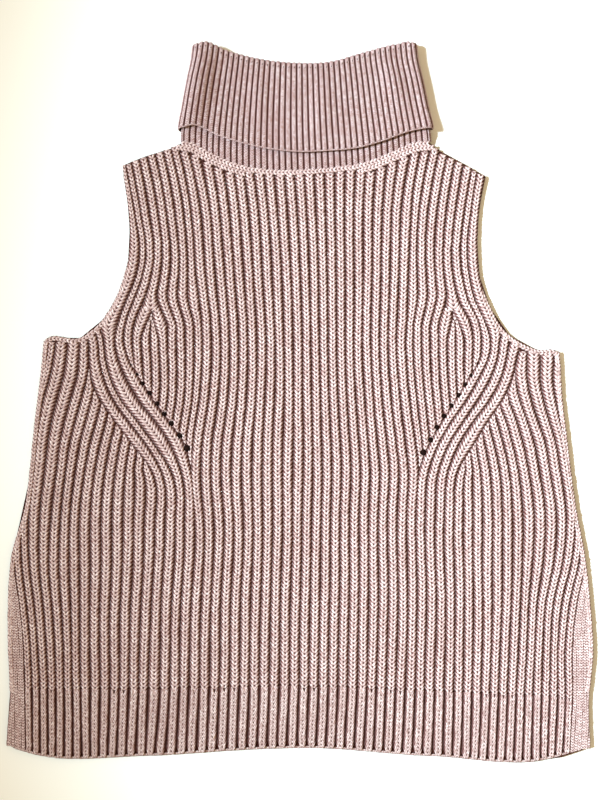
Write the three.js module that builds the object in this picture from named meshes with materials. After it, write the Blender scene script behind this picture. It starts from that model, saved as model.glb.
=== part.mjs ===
// Sleeveless roll-neck sweater vest in chunky rib knit, laid flat with its front up.
// Millimetres. +X is towards the wearer's left (right-hand side seen from above), +Y runs from the hem to
// the collar and +Z is up. The origin is in the middle of the garment, on the surface it lies on.
import * as THREE from 'three';
import { mergeVertices } from 'three/addons/utils/BufferGeometryUtils.js';

// ---------------------------------------------------------------- driving dimensions

const WALL = 3.3;            // thickness of the body's rib fabric
const SEAM_GAP = 0.3;        // clearance between layers that lie on each other
const SEAM_DROP = 0.35;      // how far a piece stops short of the one it is joined to, down the garment
const EDGE_STEP = 3;         // width of the softened border of a panel
const EDGE_THICKNESS = 0.7;  // thickness left at a panel's very edge, as a share of WALL
const COLLAR_WALL = 3.2;     // thickness of the collar's fine rib
const COLLAR_PITCH = COLLAR_WALL + SEAM_GAP;  // from one layer of the folded collar to the next
const COLLAR_RISE = 8;       // height over which the stand climbs onto the turned-over layer behind it
const WELD = 1e-3;           // vertices nearer than this are one

const YARN = { color: 0xb59a9a, roughness: 0.95, metalness: 0 };
const HEM_YARN = { color: 0xae9292, roughness: 0.95, metalness: 0 };
const COLLAR_YARN = { color: 0xb89e9f, roughness: 0.95, metalness: 0 };

// Outline of the front, x across and y up the garment.
const LEFT_SIDE = [
  { x: -279, y: -276 }, { x: -281, y: -228 }, { x: -281, y: -196 }, { x: -276, y: -142 },
  { x: -265, y: -103 }, { x: -260, y: -65 }, { x: -253, y: -1 }, { x: -249, y: 33 }, { x: -246, y: 59 },
];
const RIGHT_SIDE = [
  { x: 277, y: -284 }, { x: 281, y: -240 }, { x: 278, y: -190 }, { x: 272, y: -142 },
  { x: 265, y: -103 }, { x: 257, y: -45 }, { x: 251, y: 10 }, { x: 250, y: 30 }, { x: 248, y: 47 },
];
const HEM_TOP = [{ x: -279, y: -276 }, { x: -130, y: -275 }, { x: 0, y: -273 }, { x: 140, y: -278 }, { x: 277, y: -284 }];
const HEM_FOOT = [
  { x: -276, y: -332 }, { x: -250, y: -339 }, { x: -144, y: -339 }, { x: 0, y: -332 },
  { x: 128, y: -340 }, { x: 229, y: -344 }, { x: 271, y: -334 },
];
const HEM_LEFT = [{ x: -276, y: -332 }, { x: -282, y: -322 }, { x: -280, y: -295 }, { x: -279, y: -276 }];
const HEM_RIGHT = [{ x: 271, y: -334 }, { x: 278, y: -324 }, { x: 277, y: -304 }, { x: 277, y: -284 }];
const LEFT_LEDGE = [{ x: -246, y: 59 }, { x: -242, y: 62 }, { x: -212, y: 62 }];
const RIGHT_LEDGE = [{ x: 229, y: 50 }, { x: 244, y: 50 }, { x: 248, y: 47 }];
const LEFT_ARMHOLE = [
  { x: -212, y: 62 }, { x: -199, y: 70 }, { x: -186, y: 85 }, { x: -173, y: 110 }, { x: -165, y: 143 },
  { x: -165, y: 180 }, { x: -169, y: 212 }, { x: -171, y: 228 },
];
const RIGHT_ARMHOLE = [
  { x: 229, y: 50 }, { x: 213, y: 56 }, { x: 193, y: 72 }, { x: 183, y: 90 }, { x: 173, y: 118 },
  { x: 170, y: 150 }, { x: 172, y: 187 }, { x: 178, y: 217 },
];
const LEFT_SHOULDER = [{ x: -171, y: 228 }, { x: -149, y: 237 }, { x: -123, y: 245 }];
const RIGHT_SHOULDER = [{ x: 132, y: 243 }, { x: 156, y: 230 }, { x: 178, y: 217 }];
const FRONT_NECK = [
  { x: -113, y: 251 }, { x: -103, y: 249 }, { x: -87, y: 240 }, { x: -64, y: 230 }, { x: -31, y: 224 },
  { x: 0, y: 223.5 }, { x: 36, y: 226 }, { x: 64, y: 231 }, { x: 88, y: 241 }, { x: 111, y: 250 }, { x: 124, y: 251 },
];
const BACK_NECK = [
  { x: -113, y: 251 }, { x: -100, y: 250 }, { x: -87, y: 245 }, { x: -60, y: 237 }, { x: -30, y: 233 },
  { x: 5, y: 232 }, { x: 40, y: 233 }, { x: 70, y: 238 }, { x: 90, y: 245 }, { x: 108, y: 250 }, { x: 124, y: 251 },
];

// The collar: its two side edges by height, its folded top edge and the free edge of the part turned down.
const COLLAR_SIDES = [
  { y: 223, left: -119, right: 132 }, { y: 262, left: -116, right: 126 }, { y: 284, left: -112.5, right: 121.5 },
  { y: 308, left: -108, right: 116.5 }, { y: 328, left: -104, right: 112 }, { y: 346, left: -102, right: 110 },
];
const COLLAR_TOP = [
  { x: -106, y: 338 }, { x: -95, y: 344 }, { x: -68, y: 336 }, { x: -40, y: 329 }, { x: 0, y: 325 },
  { x: 27, y: 326 }, { x: 60, y: 335 }, { x: 92, y: 343 }, { x: 106, y: 344 }, { x: 113, y: 336 },
];
const COLLAR_FRONT_EDGE = [
  { x: -117, y: 260 }, { x: -103, y: 264 }, { x: -77, y: 254 }, { x: -31, y: 242 }, { x: 0, y: 239 },
  { x: 25, y: 240 }, { x: 55, y: 243 }, { x: 80, y: 250 }, { x: 102, y: 258 }, { x: 127, y: 263 },
];
const COLLAR_BACK_EDGE = [
  { x: -117, y: 260 }, { x: -100, y: 260 }, { x: -87, y: 255 }, { x: -60, y: 247 }, { x: -30, y: 243 },
  { x: 5, y: 242 }, { x: 40, y: 243 }, { x: 70, y: 248 }, { x: 90, y: 255 }, { x: 108, y: 260 }, { x: 127, y: 263 },
];

// Soft swells of the upper layer. Each is a rounded ridge, centred on x and y, `along` long and `across` wide,
// turned by `turn` degrees from the X axis, and `rise` high.
const BODY_SWELLS = [
  { x: -175, y: -120, along: 190, across: 60, turn: 78, rise: 1.6 },
  { x: 190, y: -150, along: 180, across: 60, turn: 100, rise: 2.0 },
  { x: -40, y: -60, along: 260, across: 70, turn: 84, rise: 1.4 },
  { x: 80, y: 90, along: 150, across: 60, turn: 96, rise: 1.4 },
  { x: -90, y: 130, along: 120, across: 50, turn: 75, rise: 1.2 },
];
const COLLAR_SWELLS = [
  { x: -92, y: 318, along: 60, across: 22, turn: 74, rise: 3.0 },
  { x: -48, y: 292, along: 70, across: 26, turn: 100, rise: 2.2 },
  { x: 20, y: 286, along: 80, across: 34, turn: 88, rise: 2.4 },
  { x: 88, y: 306, along: 80, across: 28, turn: 112, rise: 3.2 },
];

// Columns and rows of the grids that the panels are made on.
const COLUMNS = { ledge: 2, shoulder: 5 };
const ROWS = { lower: 13, upper: 10, hem: 2 };
const BACK_ROWS = { lower: 5, upper: 6, hem: 1 };
const COLLAR_STATIONS = { front: 20, back: 12, bend: 5 };
const COLLAR_ROWS = { stand: [0, 0.09, 0.3, 0.65], turned: [0, 0.3, 0.65, 0.97], roll: 5 };

// ---------------------------------------------------------------- outline curves

/** A smooth curve through the rows of an outline table, read by its share of length. */
function outline(rows) {
  const curve = new THREE.SplineCurve(rows.map((row) => new THREE.Vector2(row.x, row.y)));
  return (share) => curve.getPointAt(THREE.MathUtils.clamp(share, 0, 1));
}

/** Straight line from one point to another, read by its share of length. */
function straight(from, to) {
  return (share) => from.clone().lerp(to, share);
}

/** One value of a table by another, such as a height by x, held at the table's ends and smooth between. */
function lookUp(rows, by, value) {
  return (at) => {
    if (at <= rows[0][by]) return rows[0][value];
    const upper = rows.findIndex((row) => row[by] > at);
    if (upper < 0) return rows[rows.length - 1][value];
    const before = rows[Math.max(upper - 2, 0)];
    const start = rows[upper - 1];
    const end = rows[upper];
    const after = rows[Math.min(upper + 1, rows.length - 1)];
    const span = end[by] - start[by];
    const t = (at - start[by]) / span;
    const startSlope = ((end[value] - before[value]) / (end[by] - before[by])) * span;
    const endSlope = ((after[value] - start[value]) / (after[by] - start[by])) * span;
    const t2 = t * t;
    const t3 = t2 * t;
    return (2 * t3 - 3 * t2 + 1) * start[value] + (t3 - 2 * t2 + t) * startSlope
      + (3 * t2 - 2 * t3) * end[value] + (t3 - t2) * endSlope;
  };
}

/** Height added at a point by a table of swells, each a cosine bell that ends at its own rim. */
function swellHeight(swells, x, y) {
  let height = 0;
  for (const swell of swells) {
    const turn = THREE.MathUtils.degToRad(swell.turn);
    const along = ((x - swell.x) * Math.cos(turn) + (y - swell.y) * Math.sin(turn)) / (swell.along / 2);
    const across = (-(x - swell.x) * Math.sin(turn) + (y - swell.y) * Math.cos(turn)) / (swell.across / 2);
    const reach = Math.min(Math.hypot(along, across), 1);
    height += swell.rise * 0.5 * (1 + Math.cos(Math.PI * reach));
  }
  return height;
}

// ---------------------------------------------------------------- the ring that the collar runs on

const COLLAR_HALF = COLLAR_WALL / 2;
const RING_INSET = COLLAR_PITCH + COLLAR_HALF;  // from the collar's outline in to the ends of its ring
const leftSide = lookUp(COLLAR_SIDES, 'y', 'left');
const rightSide = lookUp(COLLAR_SIDES, 'y', 'right');

/** Where a share of the ring, -1 at its left end and 1 at its right, lies at height y. */
function ringX(across, y) {
  return THREE.MathUtils.lerp(leftSide(y) + RING_INSET, rightSide(y) - RING_INSET, (across + 1) / 2);
}

/** Point where a share of the ring meets an edge whose height is given by x. */
function ringPoint(across, edge) {
  const point = new THREE.Vector2(0, edge(0));
  for (let pass = 0; pass < 5; pass += 1) {
    point.x = ringX(across, point.y);
    point.y = edge(point.x);
  }
  return point;
}

// ---------------------------------------------------------------- panels

/** Shares from 0 to 1 in equal steps, without the first where `joined` says it repeats the one before. */
function evenShares(count, joined = false) {
  const shares = Array.from({ length: count + 1 }, (_, i) => i / count);
  return joined ? shares.slice(1) : shares;
}

/** Points along several edges end to end, `count` steps in each. */
function chain(edges) {
  return edges.flatMap(({ edge, count }, i) => evenShares(count, i > 0).map((share) => edge(share)));
}

/** The same points with one more a short way in from each end, for the softened border. */
function withBorder(points) {
  const inner = (from, to) => from.clone().lerp(to, Math.min(EDGE_STEP / from.distanceTo(to), 0.5));
  const last = points.length - 1;
  return [points[0], inner(points[0], points[1]), ...points.slice(1, last),
    inner(points[last], points[last - 1]), points[last]];
}

/** A grid of points that fills the space between four edges: bottom and top rows, left and right curves. */
function patch(bottom, top, left, right, rows) {
  const columns = bottom.length - 1;
  const stations = withBorder(evenShares(rows).map((v) => left(v)));
  const length = stations.reduce((sum, p, i) => sum + (i ? p.distanceTo(stations[i - 1]) : 0), 0);
  const grid = [];
  let run = 0;
  stations.forEach((leftPoint, j) => {
    run += j ? leftPoint.distanceTo(stations[j - 1]) : 0;
    const v = run / length;
    const rightPoint = right(v);
    const row = bottom.map((low, i) => {
      const u = i / columns;
      const high = top[i];
      const point = low.clone().multiplyScalar(1 - v).addScaledVector(high, v)
        .addScaledVector(leftPoint, 1 - u).addScaledVector(rightPoint, u);
      point.addScaledVector(bottom[0], -(1 - u) * (1 - v)).addScaledVector(bottom[columns], -u * (1 - v));
      return point.addScaledVector(top[0], -(1 - u) * v).addScaledVector(top[columns], -u * v);
    });
    grid.push(row);
  });
  return grid;
}

/** The same grid with its top row moved down the garment, clear of the piece above. */
function lowerTopRow(grid) {
  grid[grid.length - 1].forEach((point) => { point.y -= SEAM_DROP; });
  return grid;
}

/** A closed sheet over grids that share edges: `under` gives its lower face and `thickness` its wall. */
function sheetGeometry(grids, under, thickness) {
  const corners = [];
  const keyOf = (p) => `${Math.round(p.x / WELD)},${Math.round(p.y / WELD)}`;
  const edges = new Map();
  const quads = [];
  for (const grid of grids) {
    for (let j = 0; j + 1 < grid.length; j += 1) {
      for (let i = 0; i + 1 < grid[j].length; i += 1) {
        quads.push([grid[j][i], grid[j][i + 1], grid[j + 1][i + 1], grid[j + 1][i]]);
      }
    }
  }
  for (const quad of quads) {
    quad.forEach((from, i) => {
      const to = quad[(i + 1) % 4];
      const back = `${keyOf(to)}|${keyOf(from)}`;
      if (edges.has(back)) edges.delete(back);
      else edges.set(`${keyOf(from)}|${keyOf(to)}`, [from, to]);
    });
  }
  const rim = new Set([...edges.values()].flat().map(keyOf));
  const low = (p) => [p.x, p.y, under(p.x, p.y)];
  const high = (p) => [p.x, p.y, under(p.x, p.y) + thickness * (rim.has(keyOf(p)) ? EDGE_THICKNESS : 1)];
  const addQuad = (a, b, c, d) => corners.push(...a, ...b, ...c, ...a, ...c, ...d);
  for (const [a, b, c, d] of quads) {
    addQuad(high(a), high(b), high(c), high(d));
    addQuad(low(a), low(d), low(c), low(b));
  }
  for (const [from, to] of edges.values()) addQuad(low(from), low(to), high(to), high(from));
  return closedGeometry(corners);
}

/** A geometry with its shared vertices merged, from the corners of its triangles. */
function closedGeometry(corners) {
  const geometry = new THREE.BufferGeometry();
  geometry.setAttribute('position', new THREE.Float32BufferAttribute(corners, 3));
  const merged = mergeVertices(geometry, WELD);
  merged.computeVertexNormals();
  return merged;
}

/** The grids of a body panel above its hem rib, for its own neckline and numbers of rows. */
function panelGrids(neckRows, neckColumns, rows) {
  const seam = lookUp(neckRows, 'x', 'y');
  const leftLedge = outline(LEFT_LEDGE);
  const rightLedge = outline(RIGHT_LEDGE);
  const waist = straight(leftLedge(1), rightLedge(0));
  const middleColumns = 2 * COLUMNS.shoulder + neckColumns;
  const middle = withBorder(chain([{ edge: waist, count: middleColumns }]));
  const left = withBorder(chain([{ edge: leftLedge, count: COLUMNS.ledge }])).slice(0, -1);
  const right = withBorder(chain([{ edge: rightLedge, count: COLUMNS.ledge }])).slice(1);
  const armpits = [...left, ...middle.slice(0, -1), ...right.map((p, i) => (i ? p : middle[middle.length - 1]))];
  const lowerTop = [...left.slice(0, -1), ...armpits.slice(left.length - 1)];
  const hem = outline(HEM_TOP);
  const lowerBottom = lowerTop.map((_, i) => hem(i / (lowerTop.length - 1)));
  const neckline = chain([
    { edge: outline([...LEFT_SHOULDER, ringPoint(-1, seam)]), count: COLUMNS.shoulder },
    { edge: (share) => ringPoint(2 * share - 1, seam), count: neckColumns },
    { edge: outline([ringPoint(1, seam), ...RIGHT_SHOULDER]), count: COLUMNS.shoulder },
  ]);
  const lower = patch(lowerBottom, lowerTop, outline(LEFT_SIDE), outline(RIGHT_SIDE), rows.lower);
  const upper = patch(middle, withBorder(neckline), outline(LEFT_ARMHOLE), outline(RIGHT_ARMHOLE), rows.upper);
  return [lower, lowerTopRow(upper)];
}

/** The grid of a hem rib, whose upper edge stays clear of the panel. */
function hemGrids(rows, columns) {
  const edgePoints = (table) => withBorder(evenShares(columns).map(outline(table)));
  const grid = patch(edgePoints(HEM_FOOT), edgePoints(HEM_TOP), outline(HEM_LEFT), outline(HEM_RIGHT), rows);
  return [lowerTopRow(grid)];
}

// ---------------------------------------------------------------- collar

/**
 * The roll-neck collar: one fine-rib tube, joined to the neckline, standing up and folded over outwards.
 * A closed profile (stand, fold, part turned down) runs round a flattened ring.
 */
function collarGeometry() {
  const heights = {
    top: lookUp(COLLAR_TOP, 'x', 'y'),
    frontSeam: lookUp(FRONT_NECK, 'x', 'y'),
    backSeam: lookUp(BACK_NECK, 'x', 'y'),
    frontEdge: lookUp(COLLAR_FRONT_EDGE, 'x', 'y'),
    backEdge: lookUp(COLLAR_BACK_EDGE, 'x', 'y'),
  };
  const ringHalf = COLLAR_PITCH / 2;
  const seamCentre = WALL + SEAM_GAP / 2;
  const raisedCentre = COLLAR_PITCH + COLLAR_HALF + COLLAR_PITCH / 2;

  /** Point of the collar at a ring station, `out` from the stand's middle line, at height y. */
  function place(station, out, y, climb) {
    const x = ringX(station.across, y) + (ringHalf + out) * station.normal.x;
    const front = Math.max(station.normal.y, 0);
    const swell = front * swellHeight(COLLAR_SWELLS, x, y);
    const centre = THREE.MathUtils.lerp(seamCentre, raisedCentre, climb);
    return [x, y, centre + (ringHalf + out) * station.normal.y + swell];
  }

  /** Closed profile at a ring station, from the inner foot of the stand round to its outer foot. */
  function profile(station) {
    const frontShare = (1 + station.normal.y) / 2;
    const sideHeight = (front, back) => THREE.MathUtils.lerp(
      ringPoint(station.across, back).y,
      ringPoint(station.across, front).y,
      frontShare,
    );
    const seam = sideHeight(heights.frontSeam, heights.backSeam);
    const edge = sideHeight(heights.frontEdge, heights.backEdge);
    const shoulder = ringPoint(station.across, heights.top).y - COLLAR_PITCH / 2 - COLLAR_HALF;
    const points = [];
    const standAt = (share, out) => {
      const y = THREE.MathUtils.lerp(seam, shoulder, share);
      points.push(place(station, out, y, THREE.MathUtils.smoothstep(y - seam, 0, COLLAR_RISE)));
    };
    COLLAR_ROWS.stand.forEach((share) => standAt(share, -COLLAR_HALF));
    for (let k = 0; k <= COLLAR_ROWS.roll; k += 1) {
      const angle = Math.PI * (k / COLLAR_ROWS.roll);
      const reach = COLLAR_PITCH / 2 + COLLAR_HALF;
      points.push(place(station, COLLAR_PITCH / 2 - reach * Math.cos(angle), shoulder + reach * Math.sin(angle), 1));
    }
    const turned = [...COLLAR_ROWS.turned].reverse();
    turned.forEach((share) => points.push(place(station, COLLAR_PITCH + COLLAR_HALF,
      THREE.MathUtils.lerp(edge, shoulder, share), 1)));
    COLLAR_ROWS.turned.forEach((share) => points.push(place(station, COLLAR_PITCH - COLLAR_HALF,
      THREE.MathUtils.lerp(edge, shoulder, share), 1)));
    points.push(place(station, COLLAR_PITCH / 2, shoulder + SEAM_GAP / 2, 1));
    [...COLLAR_ROWS.stand].reverse().forEach((share) => standAt(share, COLLAR_HALF));
    return points;
  }

  const stations = [];
  const addStraight = (count, from, to, side) => {
    for (let i = 0; i < count; i += 1) {
      stations.push({ across: THREE.MathUtils.lerp(from, to, i / count), normal: new THREE.Vector2(0, side) });
    }
  };
  const addBend = (across, side) => {
    for (let i = 0; i < COLLAR_STATIONS.bend; i += 1) {
      const angle = Math.PI * (i / COLLAR_STATIONS.bend);
      stations.push({ across, normal: new THREE.Vector2(across * Math.sin(angle), side * Math.cos(angle)) });
    }
  };
  addStraight(COLLAR_STATIONS.front, -1, 1, 1);
  addBend(1, 1);
  addStraight(COLLAR_STATIONS.back, 1, -1, -1);
  addBend(-1, -1);

  const loops = stations.map(profile);
  const corners = [];
  loops.forEach((loop, s) => {
    const next = loops[(s + 1) % loops.length];
    loop.forEach((point, k) => {
      const following = (k + 1) % loop.length;
      corners.push(...point, ...next[following], ...next[k]);
      corners.push(...point, ...loop[following], ...next[following]);
    });
  });
  return closedGeometry(corners);
}

// ---------------------------------------------------------------- the garment

/** A named piece with a material of its own. */
function piece(name, geometry, yarn) {
  const mesh = new THREE.Mesh(geometry, new THREE.MeshStandardMaterial(yarn));
  mesh.name = name;
  return mesh;
}

const backUnder = () => 0;
const frontUnder = (x, y) => WALL + SEAM_GAP + swellHeight(BODY_SWELLS, x, y);
const hemColumns = { front: 24, back: 14 };

const vest = new THREE.Group();
vest.name = 'sweater_vest';
vest.add(piece('back_panel', sheetGeometry(panelGrids(BACK_NECK, COLLAR_STATIONS.back, BACK_ROWS), backUnder, WALL), YARN));
vest.add(piece('back_hem_rib', sheetGeometry(hemGrids(BACK_ROWS.hem, hemColumns.back), backUnder, WALL), HEM_YARN));
vest.add(piece('front_panel', sheetGeometry(panelGrids(FRONT_NECK, COLLAR_STATIONS.front, ROWS), frontUnder, WALL), YARN));
vest.add(piece('front_hem_rib', sheetGeometry(hemGrids(ROWS.hem, hemColumns.front), frontUnder, WALL), HEM_YARN));
vest.add(piece('roll_neck_collar', collarGeometry(), COLLAR_YARN));

export default vest;
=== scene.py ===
"""Sleeveless roll-neck sweater vest in chunky marled rib knit, laid flat with its front up.

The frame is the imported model's: +X to the right seen from above, +Y from the hem to the collar, +Z up.
Tables and sizes here are in millimetres; meshes are made in metres.
"""
from __future__ import annotations

import logging
import math
from dataclasses import dataclass, field, replace
from enum import Enum
from typing import Callable, NamedTuple, Sequence

import bpy
import numpy as np
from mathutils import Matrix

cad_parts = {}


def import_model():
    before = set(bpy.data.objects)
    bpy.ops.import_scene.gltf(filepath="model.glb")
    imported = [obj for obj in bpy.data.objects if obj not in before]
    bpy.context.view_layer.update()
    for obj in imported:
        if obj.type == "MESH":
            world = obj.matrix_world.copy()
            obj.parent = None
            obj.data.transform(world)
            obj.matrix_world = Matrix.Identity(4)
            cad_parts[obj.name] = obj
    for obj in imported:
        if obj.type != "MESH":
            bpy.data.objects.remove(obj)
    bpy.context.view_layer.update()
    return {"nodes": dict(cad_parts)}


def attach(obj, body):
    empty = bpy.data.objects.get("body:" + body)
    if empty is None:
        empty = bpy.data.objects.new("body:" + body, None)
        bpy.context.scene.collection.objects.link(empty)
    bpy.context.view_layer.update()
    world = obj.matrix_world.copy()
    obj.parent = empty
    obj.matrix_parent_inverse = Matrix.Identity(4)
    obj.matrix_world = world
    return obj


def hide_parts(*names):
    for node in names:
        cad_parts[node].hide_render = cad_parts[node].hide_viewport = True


LOG = logging.getLogger("sweater_vest")
MM = 0.001
STITCH_MAP = "stitch"  # across each rib from 0 to 1, and along it in stitches
BAKE_MAP = "OFBake"  # each piece laid out flat once

WALL = 3.3  # thickness of the body's rib fabric
FRONT_FLOOR = 3.6  # height of the front's under-face
GROUND_CLOTH = 0.8  # thickness of the cloth between and under the ribs
SHOULDER_INSET = 0.8  # how far the ribs end inside the shoulders
COLLAR_HALF = 1.6
COLLAR_PITCH = 3.5
COLLAR_RISE = 8.0
TOP_OF_GRID, FOOT_OF_GRID, GRID_STEP = 262.0, -346.0, 1.0
LEAN_CENTRE = 0.4  # the place in a rib's half that a stitch's lean turns about

Height = Callable[[np.ndarray, np.ndarray], np.ndarray]  # a height by x and y
Outline = Callable[[np.ndarray], np.ndarray]  # a y by x
Colour = tuple[float, float, float]


# ---------------------------------------------------------------- tables

class Point(NamedTuple):
    """A point of an outline."""

    x: float
    y: float


class BandRow(NamedTuple):
    """Where the lines between the shaping ribs run at one height."""

    y: float
    field: float
    field_edge: float
    inner: float
    first: float
    second: float
    third: float
    outer: float


class FanRow(NamedTuple):
    """Where the 3rd, 7th, 10th and 12th lines out from the band run at one height."""

    y: float
    third: float
    seventh: float
    tenth: float
    twelfth: float


class Swell(NamedTuple):
    """A soft rise of the cloth: a rounded ridge turned by degrees from +X."""

    x: float
    y: float
    along: float
    across: float
    turn: float
    rise: float


class Eyelet(NamedTuple):
    """A hole left by a lifted stitch."""

    x: float
    y: float
    radius: float


class SideRow(NamedTuple):
    """The collar's two side edges at one height."""

    y: float
    left: float
    right: float


BODY_SWELLS = (
    Swell(-175, -120, 190, 60, 78, 1.6),
    Swell(190, -150, 180, 60, 100, 2.0),
    Swell(-40, -60, 260, 70, 84, 1.4),
    Swell(80, 90, 150, 60, 96, 1.4),
    Swell(-90, 130, 120, 50, 75, 1.2),
)
COLLAR_SWELLS = (
    Swell(-98, 304, 130, 42, 78, 9.0),
    Swell(-40, 292, 80, 30, 98, 2.4),
    Swell(20, 286, 80, 34, 88, 2.4),
    Swell(88, 306, 80, 28, 112, 3.2),
)
LEFT_SIDE = (
    Point(-282, -322), Point(-279, -276), Point(-281, -228), Point(-281, -196), Point(-276, -142),
    Point(-265, -103), Point(-260, -65), Point(-253, -1), Point(-249, 33), Point(-246, 62),
)
RIGHT_SIDE = (
    Point(278, -324), Point(277, -284), Point(281, -240), Point(278, -190), Point(272, -142),
    Point(265, -103), Point(257, -45), Point(251, 10), Point(250, 30), Point(248, 52),
)
HEM_TOP = (Point(-279, -276), Point(-130, -275), Point(0, -273), Point(140, -278), Point(277, -284))
HEM_FOOT = (
    Point(-276, -332), Point(-250, -339), Point(-144, -339), Point(0, -332),
    Point(128, -340), Point(229, -344), Point(271, -334),
)
LEFT_LEDGE = (Point(-246, 59), Point(-242, 62), Point(-212, 62))
RIGHT_LEDGE = (Point(229, 50), Point(244, 50), Point(248, 47))
LEFT_ARMHOLE = (
    Point(-212, 62), Point(-199, 70), Point(-186, 85), Point(-173, 110), Point(-165, 143),
    Point(-165, 180), Point(-169, 212), Point(-171, 232),
)
RIGHT_ARMHOLE = (
    Point(229, 50), Point(213, 56), Point(193, 72), Point(183, 90), Point(173, 118),
    Point(170, 150), Point(172, 187), Point(178, 221),
)
SHOULDERS = (
    Point(-174, 227), Point(-149, 237), Point(-123, 246), Point(-113, 251), Point(124, 251),
    Point(132, 243), Point(156, 230), Point(181, 216),
)
FRONT_NECK = (
    Point(-113, 251), Point(-103, 249), Point(-87, 240), Point(-64, 230), Point(-31, 224),
    Point(0, 223.5), Point(36, 226), Point(64, 231), Point(88, 241), Point(111, 250), Point(124, 251),
)
BACK_NECK = (
    Point(-113, 251), Point(-100, 250), Point(-87, 245), Point(-60, 237), Point(-30, 233),
    Point(5, 232), Point(40, 233), Point(70, 238), Point(90, 245), Point(108, 250), Point(124, 251),
)
COLLAR_SIDES = (
    SideRow(223, -119, 132), SideRow(262, -116, 126), SideRow(284, -112.5, 121.5),
    SideRow(308, -108, 116.5), SideRow(328, -104, 112), SideRow(346, -102, 110),
)
COLLAR_TOP = (
    Point(-106, 338), Point(-95, 344), Point(-68, 336), Point(-40, 329), Point(0, 325),
    Point(27, 326), Point(60, 335), Point(92, 343), Point(106, 344), Point(113, 336),
)
COLLAR_FRONT_EDGE = (
    Point(-117, 260), Point(-103, 264), Point(-77, 254), Point(-31, 242), Point(0, 239),
    Point(25, 240), Point(55, 243), Point(80, 250), Point(102, 258), Point(127, 263),
)
COLLAR_BACK_EDGE = (
    Point(-117, 260), Point(-100, 260), Point(-87, 255), Point(-60, 247), Point(-30, 243),
    Point(5, 242), Point(40, 243), Point(70, 248), Point(90, 255), Point(108, 260), Point(127, 263),
)
LEFT_EYELETS = (
    Eyelet(-163, 36, 1.2), Eyelet(-157, 27, 1.8), Eyelet(-152, 18, 2.4), Eyelet(-145, 9, 2.5),
    Eyelet(-138, -1, 2.4), Eyelet(-131, -11, 2.5), Eyelet(-124, -20, 2.7), Eyelet(-116, -32, 2.9),
    Eyelet(-109, -44, 3.3),
)
RIGHT_EYELETS = (
    Eyelet(170, 37, 1.2), Eyelet(164, 26, 1.8), Eyelet(158, 17, 2.3), Eyelet(152, 7, 2.4),
    Eyelet(145, -3, 2.4), Eyelet(138, -13, 2.5), Eyelet(131, -24, 2.6), Eyelet(125, -36, 2.8),
    Eyelet(118, -48, 3.1),
)
MIDDLE_LINE = (
    Point(-3, -324), Point(-1, -276), Point(0, -199), Point(2, -122), Point(3, -36),
    Point(2, 60), Point(0, 137), Point(-3, 185), Point(-6, 225),
)
LEFT_BANDS = (
    BandRow(-346, -100, -110, -110, -120, -130, -140, -149),
    BandRow(-276, -97, -107, -107, -116, -125.5, -135, -146),
    BandRow(-199, -95.5, -105, -105, -115, -124, -134, -143.5),
    BandRow(-122, -92, -101, -101, -111, -120, -130, -139.5),
    BandRow(-65, -95.5, -105, -105, -115, -124.5, -134, -143.5),
    BandRow(-36, -94, -103, -113.5, -127, -143, -151, -165),
    BandRow(-17, -91, -100.5, -127, -140, -157, -166, -179),
    BandRow(2, -88, -97, -141, -155, -172, -179.5, -192),
    BandRow(22, -86, -95, -154, -167, -182, -188.5, -201),
    BandRow(41, -85, -94, -165, -175, -187, -193, -203),
    BandRow(60, -85, -94, -169.5, -178, -189, -194.5, -204),
    BandRow(79, -86, -95, -167, -174, -193, -200, -214),
    BandRow(98, -88, -97, -160, -167, -181, -192, -204),
    BandRow(118, -90, -99.5, -153, -159, -173, -184, -196),
    BandRow(137, -91.5, -101, -149, -155, -168, -180, -192),
    BandRow(156, -93, -102, -149, -155, -167, -179, -191),
    BandRow(175, -94.5, -104, -152, -158, -167, -179, -191),
    BandRow(194, -97, -106.5, -155, -161, -169, -181, -193),
    BandRow(225, -103, -112, -161, -167, -174, -186, -198),
    BandRow(262, -112, -121, -170, -176, -184, -196, -208),
)
RIGHT_BANDS = (
    BandRow(-346, 97, 107, 107, 117, 127, 137, 146),
    BandRow(-276, 101, 110.5, 110.5, 119.5, 129, 138.5, 147.5),
    BandRow(-192, 103.5, 112.5, 112.5, 121.5, 131, 140, 149),
    BandRow(-107, 102.5, 111.5, 111.5, 120.5, 130, 138.5, 148),
    BandRow(-65, 104, 114, 114, 123.5, 133, 142.5, 152),
    BandRow(-36, 101, 110.5, 126, 135, 145.5, 155, 169.5),
    BandRow(-17, 98.5, 107.5, 137, 146.5, 158, 167.5, 181),
    BandRow(2, 96.5, 105.5, 149, 160, 170.5, 181.5, 194),
    BandRow(22, 94.5, 103.5, 161, 171, 182, 192.5, 203.5),
    BandRow(41, 93, 102.5, 172, 180, 189, 198, 208),
    BandRow(56, 92.5, 101.5, 174, 183, 191.5, 200.5, 212),
    BandRow(77, 93, 102.5, 171.5, 178, 193, 203, 216),
    BandRow(98, 94, 103, 162, 168.5, 182, 194, 206),
    BandRow(120, 95, 104, 156.5, 163, 175, 187, 199),
    BandRow(141, 95.5, 105, 154, 160.5, 173, 185, 197),
    BandRow(162, 96, 106, 155, 161, 173, 185, 197),
    BandRow(183, 97, 107, 157.5, 164, 174, 186, 198),
    BandRow(204, 99.5, 108.5, 161, 167, 177, 189, 201),
    BandRow(225, 103, 112, 165, 171, 182, 194, 206),
    BandRow(262, 112, 121, 174, 180, 191, 203, 215),
)
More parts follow.
